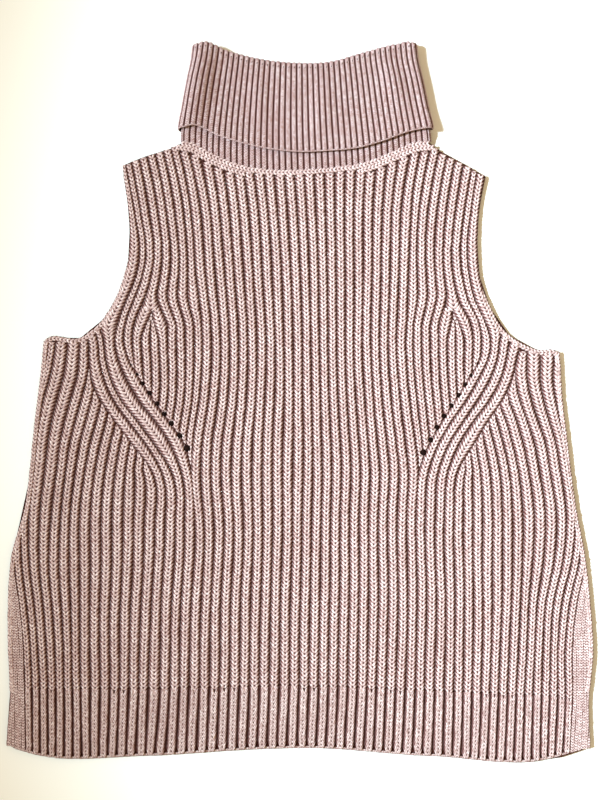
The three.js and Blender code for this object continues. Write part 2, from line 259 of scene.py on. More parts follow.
LEFT_FAN = (
    FanRow(-346, -177, -210, -235, -250), FanRow(-276, -174, -211, -235, -250.5),
    FanRow(-199, -173, -212, -238, -255), FanRow(-161, -171, -212, -241.5, -260),
    FanRow(-94, -169.5, -211, -238, -260), FanRow(-65, -167.5, -207, -234, -257),
    FanRow(-42, -164, -202.5, -231.5, -255), FanRow(-19, -159, -196, -227, -252),
    FanRow(4, -154, -190, -220.5, -246.5), FanRow(27, -148, -185, -214, -240),
    FanRow(50, -143, -181, -212, -236), FanRow(80, -140, -178, -212, -234),
)
RIGHT_FAN = (
    FanRow(-346, 171, 205, 230.5, 244), FanRow(-276, 174, 207.5, 232, 247.5),
    FanRow(-234, 175, 210, 233.5, 247.5), FanRow(-192, 175.5, 212, 236, 251.5),
    FanRow(-149, 175, 213.5, 244.5, 261.5), FanRow(-107, 175, 214, 246.5, 264.5),
    FanRow(-65, 173, 210, 240, 261), FanRow(-36, 168, 203, 235, 255),
    FanRow(-17, 163, 197.5, 228.5, 250), FanRow(2, 159, 190, 222.5, 245.5),
    FanRow(22, 155, 184, 218.5, 243), FanRow(41, 151, 180, 218, 244), FanRow(80, 148, 178, 217, 243),
)


# ---------------------------------------------------------------- curves and heights

def smooth_step(share: np.ndarray) -> np.ndarray:
    """A share from 0 to 1 eased at both ends."""
    held = np.clip(share, 0.0, 1.0)
    return held * held * (3.0 - 2.0 * held)


def curve_through(known: Sequence[float], values: Sequence[float], at: np.ndarray) -> np.ndarray:
    """Reads a smooth curve through known points.

    Args:
        known: Where the values are known, rising.
        values: The value at each.
        at: Where to read the curve. Past the ends it goes straight on.

    Returns:
        The curve's values.
    """
    knots = np.asarray(known, float)
    heights = np.asarray(values, float)
    slopes = np.gradient(heights, knots)
    place = np.clip(np.searchsorted(knots, at, side="right") - 1, 0, len(knots) - 2)
    span = knots[place + 1] - knots[place]
    share = np.clip((at - knots[place]) / span, 0.0, 1.0)
    square, cube = share ** 2, share ** 3
    inside = (
        (2 * cube - 3 * square + 1) * heights[place]
        + (cube - 2 * square + share) * slopes[place] * span
        + (3 * square - 2 * cube) * heights[place + 1]
        + (cube - square) * slopes[place + 1] * span
    )
    before = np.minimum(at - knots[0], 0.0) * slopes[0]
    after = np.maximum(at - knots[-1], 0.0) * slopes[-1]
    return inside + before + after


def column(rows: Sequence[NamedTuple], name: str, y: np.ndarray) -> np.ndarray:
    """Reads one column of a table smoothly at each height."""
    return curve_through([row.y for row in rows], [getattr(row, name) for row in rows], y)


def height_over(points: Sequence[Point], x: np.ndarray) -> np.ndarray:
    """The y of an outline by its x."""
    return curve_through([p.x for p in points], [p.y for p in points], np.asarray(x, float))


def swell_height(swells: Sequence[Swell], x: np.ndarray, y: np.ndarray) -> np.ndarray:
    """Height that a table of swells adds at each point."""
    height = np.zeros(np.broadcast(x, y).shape)
    for swell in swells:
        turn = math.radians(swell.turn)
        dx, dy = x - swell.x, y - swell.y
        along = (dx * math.cos(turn) + dy * math.sin(turn)) / (swell.along / 2)
        across = (dy * math.cos(turn) - dx * math.sin(turn)) / (swell.across / 2)
        height += swell.rise * 0.5 * (1 + np.cos(math.pi * np.minimum(np.hypot(along, across), 1)))
    return height


def front_under(x: np.ndarray, y: np.ndarray) -> np.ndarray:
    """Height of the front's under-face."""
    return FRONT_FLOOR + swell_height(BODY_SWELLS, x, y)


def over_front(lift: float) -> Height:
    """The valleys of the front, at a lift over its under-face."""
    return lambda x, y: front_under(x, y) + lift


def level(height: float) -> Height:
    """A flat floor at one height."""
    return lambda x, y: np.full(np.broadcast(x, y).shape, height)


# ---------------------------------------------------------------- stitches

class Stitch(Enum):
    """The knitted structures of the vest."""

    HALF_CARDIGAN = "half_cardigan"
    DEEP_RIB = "deep_rib"
    FINE_RIB = "fine_rib"
    PLAIN = "plain"
    BRAID = "braid"
    COARSE_BACK = "coarse_back"
    COARSE_COLLAR = "coarse_collar"


@dataclass(frozen=True)
class StitchShape:
    """How one stitch of a rib is shaped. Stations run from the rib's middle out to the valley."""

    pitch: float
    relief: float
    lean: float
    stations: tuple[float, ...]
    crest: tuple[float, ...]
    groove: tuple[float, ...]
    rows: tuple[float, ...]
    nominal: float

    def across(self) -> np.ndarray:
        """Places across the whole rib, from -1 to 1."""
        side = np.array(self.stations)
        return np.concatenate([-side[:0:-1], side])

    def heights(self, turn: np.ndarray) -> np.ndarray:
        """Heights over the valley across each row, by the rows' numbers."""
        crest = np.concatenate([self.crest[:0:-1], self.crest])
        groove = np.concatenate([self.groove[:0:-1], self.groove])
        deep = np.array(self.rows)[turn % len(self.rows)]
        return (crest[None, :] - groove[None, :] * deep[:, None]) * self.relief


SHAPES = {
    Stitch.HALF_CARDIGAN: StitchShape(
        pitch=3.8, relief=2.9, lean=0.95, nominal=4.4,
        stations=(0.0, 0.17, 0.4, 0.6, 0.78, 1.0),
        crest=(0.74, 0.98, 1.0, 0.74, 0.30, 0.0),
        groove=(0.70, 0.44, 0.42, 0.50, 0.26, -0.12),
        rows=(1.0, 0.08, 0.0),
    ),
    Stitch.DEEP_RIB: StitchShape(
        pitch=3.6, relief=2.8, lean=2.3, nominal=4.6,
        stations=(0.0, 0.2, 0.45, 0.62, 0.76, 1.0),
        crest=(0.74, 0.96, 1.0, 0.84, 0.42, 0.0),
        groove=(0.46, 0.30, 0.28, 0.30, 0.14, 0.0),
        rows=(1.0, 0.05, 0.0),
    ),
    Stitch.FINE_RIB: StitchShape(
        pitch=2.2, relief=1.25, lean=1.3, nominal=2.5,
        stations=(0.0, 0.34, 0.6, 1.0),
        crest=(0.92, 1.0, 0.62, 0.0),
        groove=(0.42, 0.30, 0.22, 0.0),
        rows=(1.0, 0.0),
    ),
    Stitch.PLAIN: StitchShape(
        pitch=2.6, relief=1.9, lean=0.8, nominal=2.3,
        stations=(0.0, 0.35, 0.7, 1.0),
        crest=(0.76, 1.0, 0.8, 0.3),
        groove=(0.40, 0.34, 0.34, 0.1),
        rows=(1.0, 0.0),
    ),
    Stitch.BRAID: StitchShape(
        pitch=3.6, relief=2.6, lean=0.9, nominal=2.8,
        stations=(0.0, 0.25, 0.5, 0.75, 1.0),
        crest=(0.72, 0.98, 1.0, 0.7, 0.1),
        groove=(0.50, 0.42, 0.42, 0.40, 0.0),
        rows=(1.0, 0.05, 0.0),
    ),
    Stitch.COARSE_BACK: StitchShape(
        pitch=3.8, relief=2.3, lean=0.95, nominal=4.6,
        stations=(0.0, 0.3, 0.7, 1.0),
        crest=(0.82, 1.0, 0.72, 0.0),
        groove=(0.4, 0.3, 0.3, 0.0),
        rows=(0.5,),
    ),
    Stitch.COARSE_COLLAR: StitchShape(
        pitch=4.4, relief=1.1, lean=1.3, nominal=2.5,
        stations=(0.0, 0.68, 1.0),
        crest=(1.0, 0.72, 0.0),
        groove=(0.0, 0.0, 0.0),
        rows=(0.0,),
    ),
}


class Cloth:
    """Collects the grids of a knitted piece and makes one mesh of them."""

    unevenness: float = 0.08  # share by which stitches differ in height
    sway: float = 0.12  # how far stitches stand off their rib's line
    sway_run: float = 19.0  # length over which a rib wanders
    end_round: float = 1.2  # length over which a rib's end rounds off
    end_height: float = 0.45  # share of the relief left at a rib's very end
    fewest_rows: int = 3
    hole_rim: float = 0.95  # share of an eyelet's radius at which its rib starts
    hole_fade: float = 0.4  # and over which it rises
    face_share: float = 0.74  # part of the baking map that the upper faces take
    under_from: float = 0.76  # where the under faces start on it

    def __init__(self) -> None:
        """Starts empty."""
        self.points: list[np.ndarray] = []
        self.faces: list[np.ndarray] = []
        self.maps: list[np.ndarray] = []
        self.under: list[np.ndarray] = []
        self.caps: list[tuple[np.ndarray, np.ndarray]] = []
        self.count = 0
        self.holes: Sequence[Eyelet] = ()
        self.chance = np.random.default_rng(11)

    def grid(self, points: np.ndarray, along: np.ndarray, across: np.ndarray, flip: bool = False) -> None:
        """Adds a closed strip whose upper side is a grid of points.

        Args:
            points: Rows by columns by x, y, z, in millimetres.
            along: The stitch count of each row.
            across: The place of each column, from 0 to 1.
            flip: Turns the faces over, for a strip that faces down.
        """
        rows, columns = points.shape[:2]
        ids = np.arange(rows * columns).reshape(rows, columns) + self.count
        upper = np.stack([ids[:-1, :-1], ids[:-1, 1:], ids[1:, 1:], ids[1:, :-1]], -1).reshape(-1, 4)
        lower = np.stack([ids[:-1, -1], ids[:-1, 0], ids[1:, 0], ids[1:, -1]], -1)
        u, v = np.meshgrid(across, along)
        uv = np.stack([u, v], -1)
        corner = [uv[:-1, :-1], uv[:-1, 1:], uv[1:, 1:], uv[1:, :-1]]
        upper_map = np.stack(corner, -2).reshape(-1, 4, 2)
        lower_map = np.zeros((rows - 1, 4, 2))
        lower_map[:, :2, 1] = np.asarray(along)[:-1, None]
        lower_map[:, 2:, 1] = np.asarray(along)[1:, None]
        if flip:
            upper, lower = upper[:, ::-1], lower[:, ::-1]
            upper_map, lower_map = upper_map[:, ::-1], lower_map[:, ::-1]
        self.points.append(points.reshape(-1, 3))
        self.faces += [upper, lower]
        self.maps += [upper_map, lower_map]
        self.under += [np.zeros(len(upper), bool), np.ones(len(lower), bool)]
        for row, turned in ((0, not flip), (rows - 1, flip)):
            loop = ids[row]
            loop_map = np.stack([across, np.full(columns, along[row])], -1)
            self.caps.append((loop[::-1], loop_map[::-1]) if turned else (loop, loop_map))
        self.count += rows * columns

    def mesh(self, name: str) -> bpy.types.Mesh:
        """Makes the mesh, in metres, with its two maps."""
        points = np.concatenate(self.points) * MM
        quads = np.concatenate(self.faces)
        faces = quads.tolist() + [loop.tolist() for loop, _ in self.caps]
        mesh = bpy.data.meshes.new(name)
        mesh.from_pydata(points.tolist(), [], faces)
        stitch = np.concatenate([np.concatenate(self.maps).reshape(-1, 2)] + [m for _, m in self.caps])
        hidden = np.concatenate([np.repeat(np.concatenate(self.under), 4)]
                                + [np.ones(len(loop), bool) for loop, _ in self.caps])
        corners = np.concatenate([quads.reshape(-1)] + [loop for loop, _ in self.caps])
        flat = points[corners][:, :2]
        low, span = flat.min(0), np.ptp(flat, axis=0)
        share = (flat - low) / span
        share[:, 1] = np.where(hidden, self.under_from + (1 - self.under_from) * share[:, 1],
                               self.face_share * share[:, 1])
        mesh.uv_layers.new(name=STITCH_MAP).data.foreach_set("uv", stitch.astype(np.float32).ravel())
        mesh.uv_layers.new(name=BAKE_MAP).data.foreach_set("uv", share.astype(np.float32).ravel())
        mesh.uv_layers[STITCH_MAP].active = True
        mesh.shade_smooth()
        mesh.update()
        return mesh

    def piece(self, name: str, finish: bpy.types.Material, slot: Slot) -> bpy.types.Object:
        """The mesh as a piece that rides on the garment."""
        return piece(name, self.mesh(name), finish, slot)

    def knit(
        self, path: np.ndarray, half: np.ndarray, shape: StitchShape, floor: Height, facing: int = 1,
    ) -> None:
        """Adds one rib along a path on the cloth.

        Args:
            path: Points of the rib's middle line, x and y.
            half: Half of the rib's width at each point.
            shape: Its stitches.
            floor: Height of the valley beside it.
            facing: 1 for a rib that faces up, -1 for one that faces down.
        """
        run = np.concatenate([[0.0], np.cumsum(np.hypot(*np.diff(path, axis=0).T))])
        length = run[-1]
        count = int(round(length / (shape.pitch / len(shape.rows))))
        if count < self.fewest_rows:
            return
        rows = np.linspace(0.0, length, count + 1)
        tangent = np.gradient(path, run, axis=0)
        tangent /= np.linalg.norm(tangent, axis=1)[:, None]
        across = shape.across()
        width = np.interp(rows, run, half)
        shift = shape.lean * width[:, None] * (np.abs(across)[None, :] - LEAN_CENTRE)
        at = np.clip(rows[:, None] + shift, 0.0, length)
        turn = np.arange(count + 1)
        stitch = turn // len(shape.rows)
        lift = 1.0 + self.unevenness * self.chance.standard_normal(stitch[-1] + 1)[stitch]
        sway = self.sway * (self.chance.standard_normal(stitch[-1] + 1)[stitch]
                            + 2.0 * np.sin(rows / self.sway_run + self.chance.uniform(0, 2 * math.pi)))
        wide = np.interp(at, run, half) * across[None, :] + sway[:, None]
        x = np.interp(at, run, path[:, 0]) + np.interp(at, run, tangent[:, 1]) * wide
        y = np.interp(at, run, path[:, 1]) - np.interp(at, run, tangent[:, 0]) * wide
        full = np.minimum(width / shape.nominal, 1.0)
        end = np.clip(np.minimum(at, length - at) / self.end_round, 0.0, 1.0)
        rounded = self.end_height + (1 - self.end_height) * np.sqrt(end * (2.0 - end))
        height = shape.heights(turn) * ((full * lift)[:, None] * rounded)
        for hole in self.holes:
            away = np.hypot(x - hole.x, y - hole.y) / hole.radius
            height = height * smooth_step((away - self.hole_rim) / self.hole_fade)
        z = floor(x, y) + facing * height
        self.grid(np.stack([x, y, z], -1), turn / len(shape.rows), (across + 1) / 2, facing < 0)


# ---------------------------------------------------------------- where the ribs run

@dataclass(frozen=True)
class Rib:
    """One rib between two lines, each an x for every height of the common grid."""

    left: np.ndarray
    right: np.ndarray
    low: float = FOOT_OF_GRID
    high: float = TOP_OF_GRID
    stitch: Stitch = Stitch.HALF_CARDIGAN


@dataclass
class SideLines:
    """The lines between the ribs of one side of the body. `out` is -1 on the left, 1 on the right."""

    heights: np.ndarray
    bands: tuple[BandRow, ...]
    fan: tuple[FanRow, ...]
    side: tuple[Point, ...]
    armhole: tuple[Point, ...]
    ledge_height: float
    out: int
    leaf_width: float = 79.0
    leaf_foot: float = -10.0
    leaf_top: float = 60.0
    first_join: float = 79.0
    second_join: float = 91.0
    join_lap: float = 3.0
    spread_from: float = 70.0
    spread_length: float = 38.0
    close_from: float = 58.0
    close_length: float = 33.0
    outer_pitch: float = 7.3
    fan_top: float = -65.0
    fan_lines: int = 14
    plain_top: float = -120.0
    plain_columns: int = 7
    plain_pitch: float = 3.2
    plain_lap: float = 0.7

    def inward(self, a: np.ndarray, b: np.ndarray) -> np.ndarray:
        """Whichever of two lines lies nearer to the garment's middle."""
        return np.minimum(a, b) if self.out > 0 else np.maximum(a, b)

    def outward(self, a: np.ndarray, b: np.ndarray) -> np.ndarray:
        """Whichever of two lines lies further from the garment's middle."""
        return np.maximum(a, b) if self.out > 0 else np.minimum(a, b)

    def fan_line(self, number: int, band_outer: np.ndarray) -> np.ndarray:
        """A line of the fan, counted out from the band, which cuts it off further up."""
        known = {3: "third", 7: "seventh", 10: "tenth", 12: "twelfth"}
        known = {count: column(self.fan, name, self.heights) for count, name in known.items()}
        foot = int(np.searchsorted(self.heights, self.fan_top))
        free = known[3] + band_outer[foot] - known[3][foot]
        known[0] = np.where(self.heights < self.fan_top, band_outer, free)
        last = max(known)
        if number > last:
            return known[last] + self.out * self.outer_pitch * (number - last)
        if number in known:
            return known[number]
        below = max(count for count in known if count < number)
        above = min(count for count in known if count > number)
        share = (number - below) / (above - below)
        return known[below] * (1 - share) + known[above] * share

    def between(self, a: np.ndarray, b: np.ndarray, **limits: float | Stitch) -> Rib:
        """A rib between two lines, whichever of them is on the left."""
        left, right = (b, a) if self.out < 0 else (a, b)
        return Rib(left, right, **limits)

    def ribs(self) -> list[Rib]:
        """All ribs of this side, from the field out to the side edge."""
        band = {name: column(self.bands, name, self.heights) for name in BandRow._fields[1:]}
        field_line, field_edge, inner, outer = (band[n] for n in ("field", "field_edge", "inner", "outer"))
        bands = [band[name] for name in ("inner", "first", "second", "third", "outer")]
        made = [self.between(field_line, field_edge)]
        made += self.leaf(field_line, field_edge, inner)
        made += [self.between(a, b) for a, b in zip(bands, bands[1:])]
        lines = [outer]
        lines += [self.outward(self.fan_line(k, outer), outer) for k in range(1, self.fan_lines + 1)]
        made += [self.between(a, b, high=self.ledge_height) for a, b in zip(lines, lines[1:])]
        for place in range(self.plain_columns):
            near = lines[-1] + self.out * (self.plain_pitch * place - self.plain_lap)
            far = lines[-1] + self.out * (self.plain_pitch * (place + 1) + self.plain_lap)
            made.append(self.between(near, far, high=self.plain_top, stitch=Stitch.PLAIN))
        below = column(self.side, "x", self.heights)
        edge = np.where(self.heights < self.ledge_height, below, column(self.armhole, "x", self.heights))
        return [replace(r, left=self.inward(r.left, edge), right=self.inward(r.right, edge)) for r in made]

    def leaf(self, field_line: np.ndarray, field_edge: np.ndarray, inner: np.ndarray) -> list[Rib]:
        """The ribs above the eyelets, which close up where decreases take some of them out."""
        y = self.heights
        free = field_line + self.out * self.leaf_width
        widest = inner[int(np.searchsorted(y, self.leaf_top))]
        blend = smooth_step((y - self.leaf_foot) / (self.leaf_top - self.leaf_foot))
        outer = free * (1 - blend) + np.where(y < self.leaf_top, widest, inner) * blend
        ease = smooth_step((y - self.spread_from) / self.spread_length)
        close = smooth_step((y - self.close_from) / self.close_length)
        line = {10: field_edge}
        for number, below, above, rise in (
            (9, 0.2, 2 / 7, ease), (8, 0.3, 3 / 7, ease), (7, 0.4, 4 / 7, ease), (6, 0.5, 5 / 7, ease),
            (5, 0.6, 0.717, close), (4, 0.7, 0.71, close), (3, 0.8, 0.717, close),
            (2, 0.9, 6 / 7, ease), (1, 1.0, 1.0, ease),
        ):
            share = below + (above - below) * rise
            line[number] = self.inward(field_line + (outer - field_line) * share, inner)
        tops = {3: self.first_join, 4: self.first_join, 2: self.second_join, 5: self.second_join}
        made = [self.between(line[k + 1], line[k], high=tops.get(k, TOP_OF_GRID)) for k in range(1, 10)]
        made.append(self.between(line[5], line[3], low=self.first_join, high=self.second_join))
        made.append(self.between(line[6], line[2], low=self.second_join - self.join_lap))
        return made


@dataclass
class RibPlan:
    """All the body's ribs, for the front and, coarser, for the back."""

    heights: np.ndarray = field(default_factory=lambda: np.arange(FOOT_OF_GRID, TOP_OF_GRID, GRID_STEP))
    left_ledge: float = 60.0
    right_ledge: float = 49.0
    narrowest: float = 0.5
    shortest: int = 6
    middle_left: int = 10
    middle_right: int = 11

    def __post_init__(self) -> None:
        """Lays out the lines of both sides and the middle."""
        y = self.heights
        left = SideLines(y, LEFT_BANDS, LEFT_FAN, LEFT_SIDE, LEFT_ARMHOLE, self.left_ledge, -1)
        right = SideLines(y, RIGHT_BANDS, RIGHT_FAN, RIGHT_SIDE, RIGHT_ARMHOLE, self.right_ledge, 1)
        self.left_ribs, self.right_ribs = left.ribs(), right.ribs()
        low, middle, high = (column(t, n, y) for t, n in (
            (LEFT_BANDS, "field"), (MIDDLE_LINE, "x"), (RIGHT_BANDS, "field")))
        left_count, right_count = self.middle_left, self.middle_right
        lines = [low + (middle - low) * k / left_count for k in range(left_count + 1)]
        lines += [middle + (high - middle) * k / right_count for k in range(1, right_count + 1)]
        self.middle_ribs = [Rib(a, b) for a, b in zip(lines, lines[1:])]
        self.ribs = self.left_ribs + self.middle_ribs + self.right_ribs

    def spread(
        self, cloth: Cloth, ribs: Sequence[Rib], top: Outline, foot: Outline, floor: Height,
        stitch: Stitch | None = None, facing: int = 1,
    ) -> None:
        """Knits the ribs that lie between a foot line and a top line.

        Args:
            cloth: What the ribs are added to.
            ribs: The ribs.
            top: The upper limit.
            foot: The lower limit.
            floor: Height of the valleys.
            stitch: The structure, where it isn't each rib's own.
            facing: 1 for up, -1 for down.
        """
        for rib in ribs:
            middle = (rib.right + rib.left) / 2
            half = (rib.right - rib.left) / 2 / np.hypot(1.0, np.gradient(middle, self.heights))
            keep = (half > self.narrowest) & (self.heights >= rib.low) & (self.heights <= rib.high)
            keep &= (self.heights < top(middle)) & (self.heights > foot(middle))
            places = np.flatnonzero(keep)
            own = rib.stitch if stitch is None or (rib.stitch is Stitch.PLAIN and facing > 0) else stitch
            for part in np.split(places, np.flatnonzero(np.diff(places) > 1) + 1):
                if len(part) >= self.shortest:
                    path = np.stack([middle[part], self.heights[part]], -1)
                    cloth.knit(path, half[part], SHAPES[own], floor, facing)

# ---------------------------------------------------------------- the folded collar's form

@dataclass
class RollForm:
    """The collar's form: a flattened ring round the neck, standing up and folded over outwards."""

    front_ribs: int = 41
    bend_ribs: int = 4
    flare_reach: float = 1.8
    stand_below: float = 0.8
    stand_above: float = 12.0
    seam_middle: float = WALL + 0.15
    raised_middle: float = COLLAR_PITCH + COLLAR_HALF + COLLAR_PITCH / 2

    def ring_x(self, across: np.ndarray, y: np.ndarray) -> np.ndarray:
        """The x of a share of the ring, from -1 to 1, at a height."""
        inset = COLLAR_PITCH + COLLAR_HALF
        left = column(COLLAR_SIDES, "left", y) + inset
        right = column(COLLAR_SIDES, "right", y) - inset
        return left + (right - left) * (across + 1) / 2

    def meet(self, across: np.ndarray, edge: Sequence[Point]) -> np.ndarray:
        """Height at which a share of the ring meets an edge given by x."""
        y = height_over(edge, np.zeros_like(across))
        for _ in range(6):
            y = height_over(edge, self.ring_x(across, y))
        return y

    def stations(self, around: np.ndarray) -> tuple[np.ndarray, np.ndarray, np.ndarray]:
        """Splits places round the ring, 0 to 4, into the share across and the outward direction.

        Args:
            around: 0 to 1 along the front, to 2 round the right, to 3 along the back, to 4 round the left.

        Returns:
            The share across, and the direction's x and z.
        """
        turn = np.mod(around, 4.0)
        part = np.floor(turn)
        share = turn - part
        side = [part == 0, part == 1, part == 2]
        across = np.select(side, [2 * share - 1, 1.0 + 0 * share, 1 - 2 * share], -1.0)
        angle = np.select(side, [0 * share, math.pi * share, math.pi + 0 * share], math.pi * (1 + share))
        return across, np.sin(angle), np.cos(angle)

    def place(self, around: np.ndarray, out: np.ndarray, y: np.ndarray, seam: np.ndarray) -> np.ndarray:
        """Points at places round the ring, `out` from the stand's middle, at a height.

        Args:
            around: Place round the ring.
            out: Distance outwards from the stand's middle line.
            y: Height up the garment.
            seam: Height of the neck seam there.

        Returns:
            The points, in millimetres.
        """
        across, sideways, upwards = self.stations(around)
        reach = COLLAR_PITCH / 2 + out
        x = self.ring_x(across, y) + reach * sideways
        rise = smooth_step((y - seam) / COLLAR_RISE)
        middle = self.seam_middle + (self.raised_middle - self.seam_middle) * rise
        swell = np.maximum(upwards, 0.0) * swell_height(COLLAR_SWELLS, x, y)
        return np.stack([x, y, middle + reach * upwards + swell], -1)

    def levels(self, around: np.ndarray) -> tuple[np.ndarray, np.ndarray, np.ndarray]:
        """Heights of the neck seam, the free edge and the start of the fold round the ring."""
        across, _, upwards = self.stations(around)
        front = (1 + upwards) / 2
        seam, edge = (
            self.meet(across, behind) * (1 - front) + self.meet(across, ahead) * front
            for behind, ahead in ((BACK_NECK, FRONT_NECK), (COLLAR_BACK_EDGE, COLLAR_FRONT_EDGE))
        )
        fold = self.meet(across, COLLAR_TOP) - COLLAR_PITCH / 2 - COLLAR_HALF
        return seam, edge, fold

    def flare(self, around: np.ndarray, turned: np.ndarray) -> np.ndarray:
        """How far the turned-down part stands off in front, most at its free edge."""
        return self.flare_reach * np.maximum(self.stations(around)[2], 0.0) * (1 - smooth_step(turned / 0.3))

    def outside(self, around: np.ndarray, run: np.ndarray, proud: np.ndarray) -> np.ndarray:
        """Points on the side that shows: up the part turned down, over the fold and down inside the stand.

        Args:
            around: Place round the ring.
            run: 0 to 1 up the turned-down part, to 2 over the fold, to 3 down inside the stand.
            proud: Distance of the point from the cloth's middle.

        Returns:
            The points, in millimetres.
        """
        seam, edge, fold = self.levels(around)
        turned = np.clip(run, 0.0, 1.0)
        over = np.clip(run - 1.0, 0.0, 1.0)
        inside = np.clip(run - 2.0, 0.0, 1.0)
        angle = math.pi * over
        reach = COLLAR_PITCH / 2 + proud
        out = COLLAR_PITCH / 2 + reach * np.cos(angle) + self.flare(around, turned)
        y = edge + (fold - edge) * turned + reach * np.sin(angle)
        y = np.where(run > 2.0, fold + (seam - fold) * inside, y)
        return self.place(around, out, y, seam)

    def stand(self, around: np.ndarray, run: np.ndarray, proud: np.ndarray) -> np.ndarray:
        """Points on the stand's outer side, 0 at the seam to 1 some way up under the turned-down part."""
        seam, edge, _ = self.levels(around)
        y = seam - self.stand_below + (edge + self.stand_above - seam) * run
        return self.place(around, proud, y, seam)

    def rib_lines(self) -> np.ndarray:
        """Places round the ring of the valleys between the fine ribs."""
        front = np.linspace(0, 1, self.front_ribs + 1)[:-1]
        bend = np.linspace(1, 2, self.bend_ribs + 1)[:-1]
        return np.concatenate([front, bend, front + 2, bend + 2, [4.0]])


# ---------------------------------------------------------------- finishes

def linear(red: float, green: float, blue: float) -> tuple[float, float, float, float]:
    """A display colour, 0 to 255, as the linear one that materials take."""
    parts = []
    for value in (red, green, blue):
        share = value / 255
        parts.append(share / 12.92 if share <= 0.04045 else ((share + 0.055) / 1.055) ** 2.4)
    return (*parts, 1.0)


class Graph:
    """Adds nodes to a node tree, one call a node."""

    def __init__(self, tree: bpy.types.NodeTree) -> None:
        """Works on a tree, emptied first."""
        self.tree = tree
        tree.nodes.clear()

    def add(self, kind: str, **settings: object) -> bpy.types.Node:
        """A new node of a kind, with its settings."""
        node = self.tree.nodes.new(kind)
        for name, value in settings.items():
            setattr(node, name, value)
        return node

    def plug(self, socket: bpy.types.NodeSocket, value: object) -> None:
        """Links a socket to another, or gives it a value."""
        if isinstance(value, bpy.types.NodeSocket):
            self.tree.links.new(value, socket)
        else:
            socket.default_value = value

    def math(self, operation: str, *values: object) -> bpy.types.NodeSocket:
        """A Math node."""
        node = self.add("ShaderNodeMath", operation=operation)
        for socket, value in zip(node.inputs, values):
            self.plug(socket, value)
        return node.outputs[0]

    def fade(self, value: object, start: object, stop: object) -> bpy.types.NodeSocket:
        """A mask that rises smoothly from 0 at start to 1 at stop."""
        node = self.add("ShaderNodeMapRange", interpolation_type="SMOOTHSTEP")
        return self.fill(node, Value=value, From_Min=start, From_Max=stop).outputs["Result"]

    def mix(self, factor: object, a: object, b: object) -> bpy.types.NodeSocket:
        """A colour between two others."""
        node = self.add("ShaderNodeMix", data_type="RGBA")
        return self.fill(node, Factor=factor, A=a, B=b).outputs["Result"]

    def noise(self, vector: object, scale: object, detail: float = 2.0) -> bpy.types.NodeSocket:
        """Plain noise from 0 to 1."""
        node = self.add("ShaderNodeTexNoise")
        return self.fill(node, Vector=vector, Scale=scale, Detail=detail).outputs["Fac"]

    def fill(self, node: bpy.types.Node, **values: object) -> bpy.types.Node:
        """A node with its inputs filled by name, underscores standing for spaces."""
        for name, value in values.items():
            self.plug(node.inputs[name.replace("_", " ")], value)
        return node

    def group(self, tree: bpy.types.NodeTree, **values: object) -> bpy.types.Node:
        """A node group placed with its own values."""
        return self.fill(self.add("ShaderNodeGroup", node_tree=tree), **values)

    def parts(self, vector: object) -> tuple[bpy.types.NodeSocket, bpy.types.NodeSocket]:
        """The x and y of a vector."""
        node = self.add("ShaderNodeSeparateXYZ")
        self.plug(node.inputs[0], vector)
        return node.outputs["X"], node.outputs["Y"]

    def surface(self, **values: object) -> None:
        """The material's shader with its values, and the output."""
        shader = self.fill(self.add("ShaderNodeBsdfPrincipled"), **values)
        self.fill(self.add("ShaderNodeOutputMaterial"), Surface=shader.outputs["BSDF"])


def new_group(
    name: str, inputs: dict[str, object], outputs: dict[str, str],
) -> tuple[Graph, dict[str, bpy.types.NodeSocket], bpy.types.Node]:
    """Starts a node group with named sockets.

    Args:
        name: Its name.
        inputs: Each input's name with its default: a number, a colour, or None for a vector.
        outputs: Each output's name with its socket type.

    Returns:
        A graph on the group's tree, what it is given by name, and its output node.
    """
    tree = bpy.data.node_groups.new(name, "ShaderNodeTree")
    graph = Graph(tree)
    for label, value in inputs.items():
        kind = "NodeSocketVector" if value is None else "NodeSocketFloat"
        if isinstance(value, tuple):
            kind = "NodeSocketColor"
        socket = tree.interface.new_socket(label, in_out="INPUT", socket_type=kind)
        if value is not None:
            socket.default_value = value
    for label, kind in outputs.items():
        tree.interface.new_socket(label, in_out="OUTPUT", socket_type=kind)
    given = graph.add("NodeGroupInput").outputs
    return graph, {label: given[label] for label in inputs}, graph.add("NodeGroupOutput")


def new_material(name: str) -> tuple[bpy.types.Material, Graph]:
    """An empty material and a graph on its nodes."""
    material = bpy.data.materials.new(name)
    material.use_nodes = True
    return material, Graph(material.node_tree)


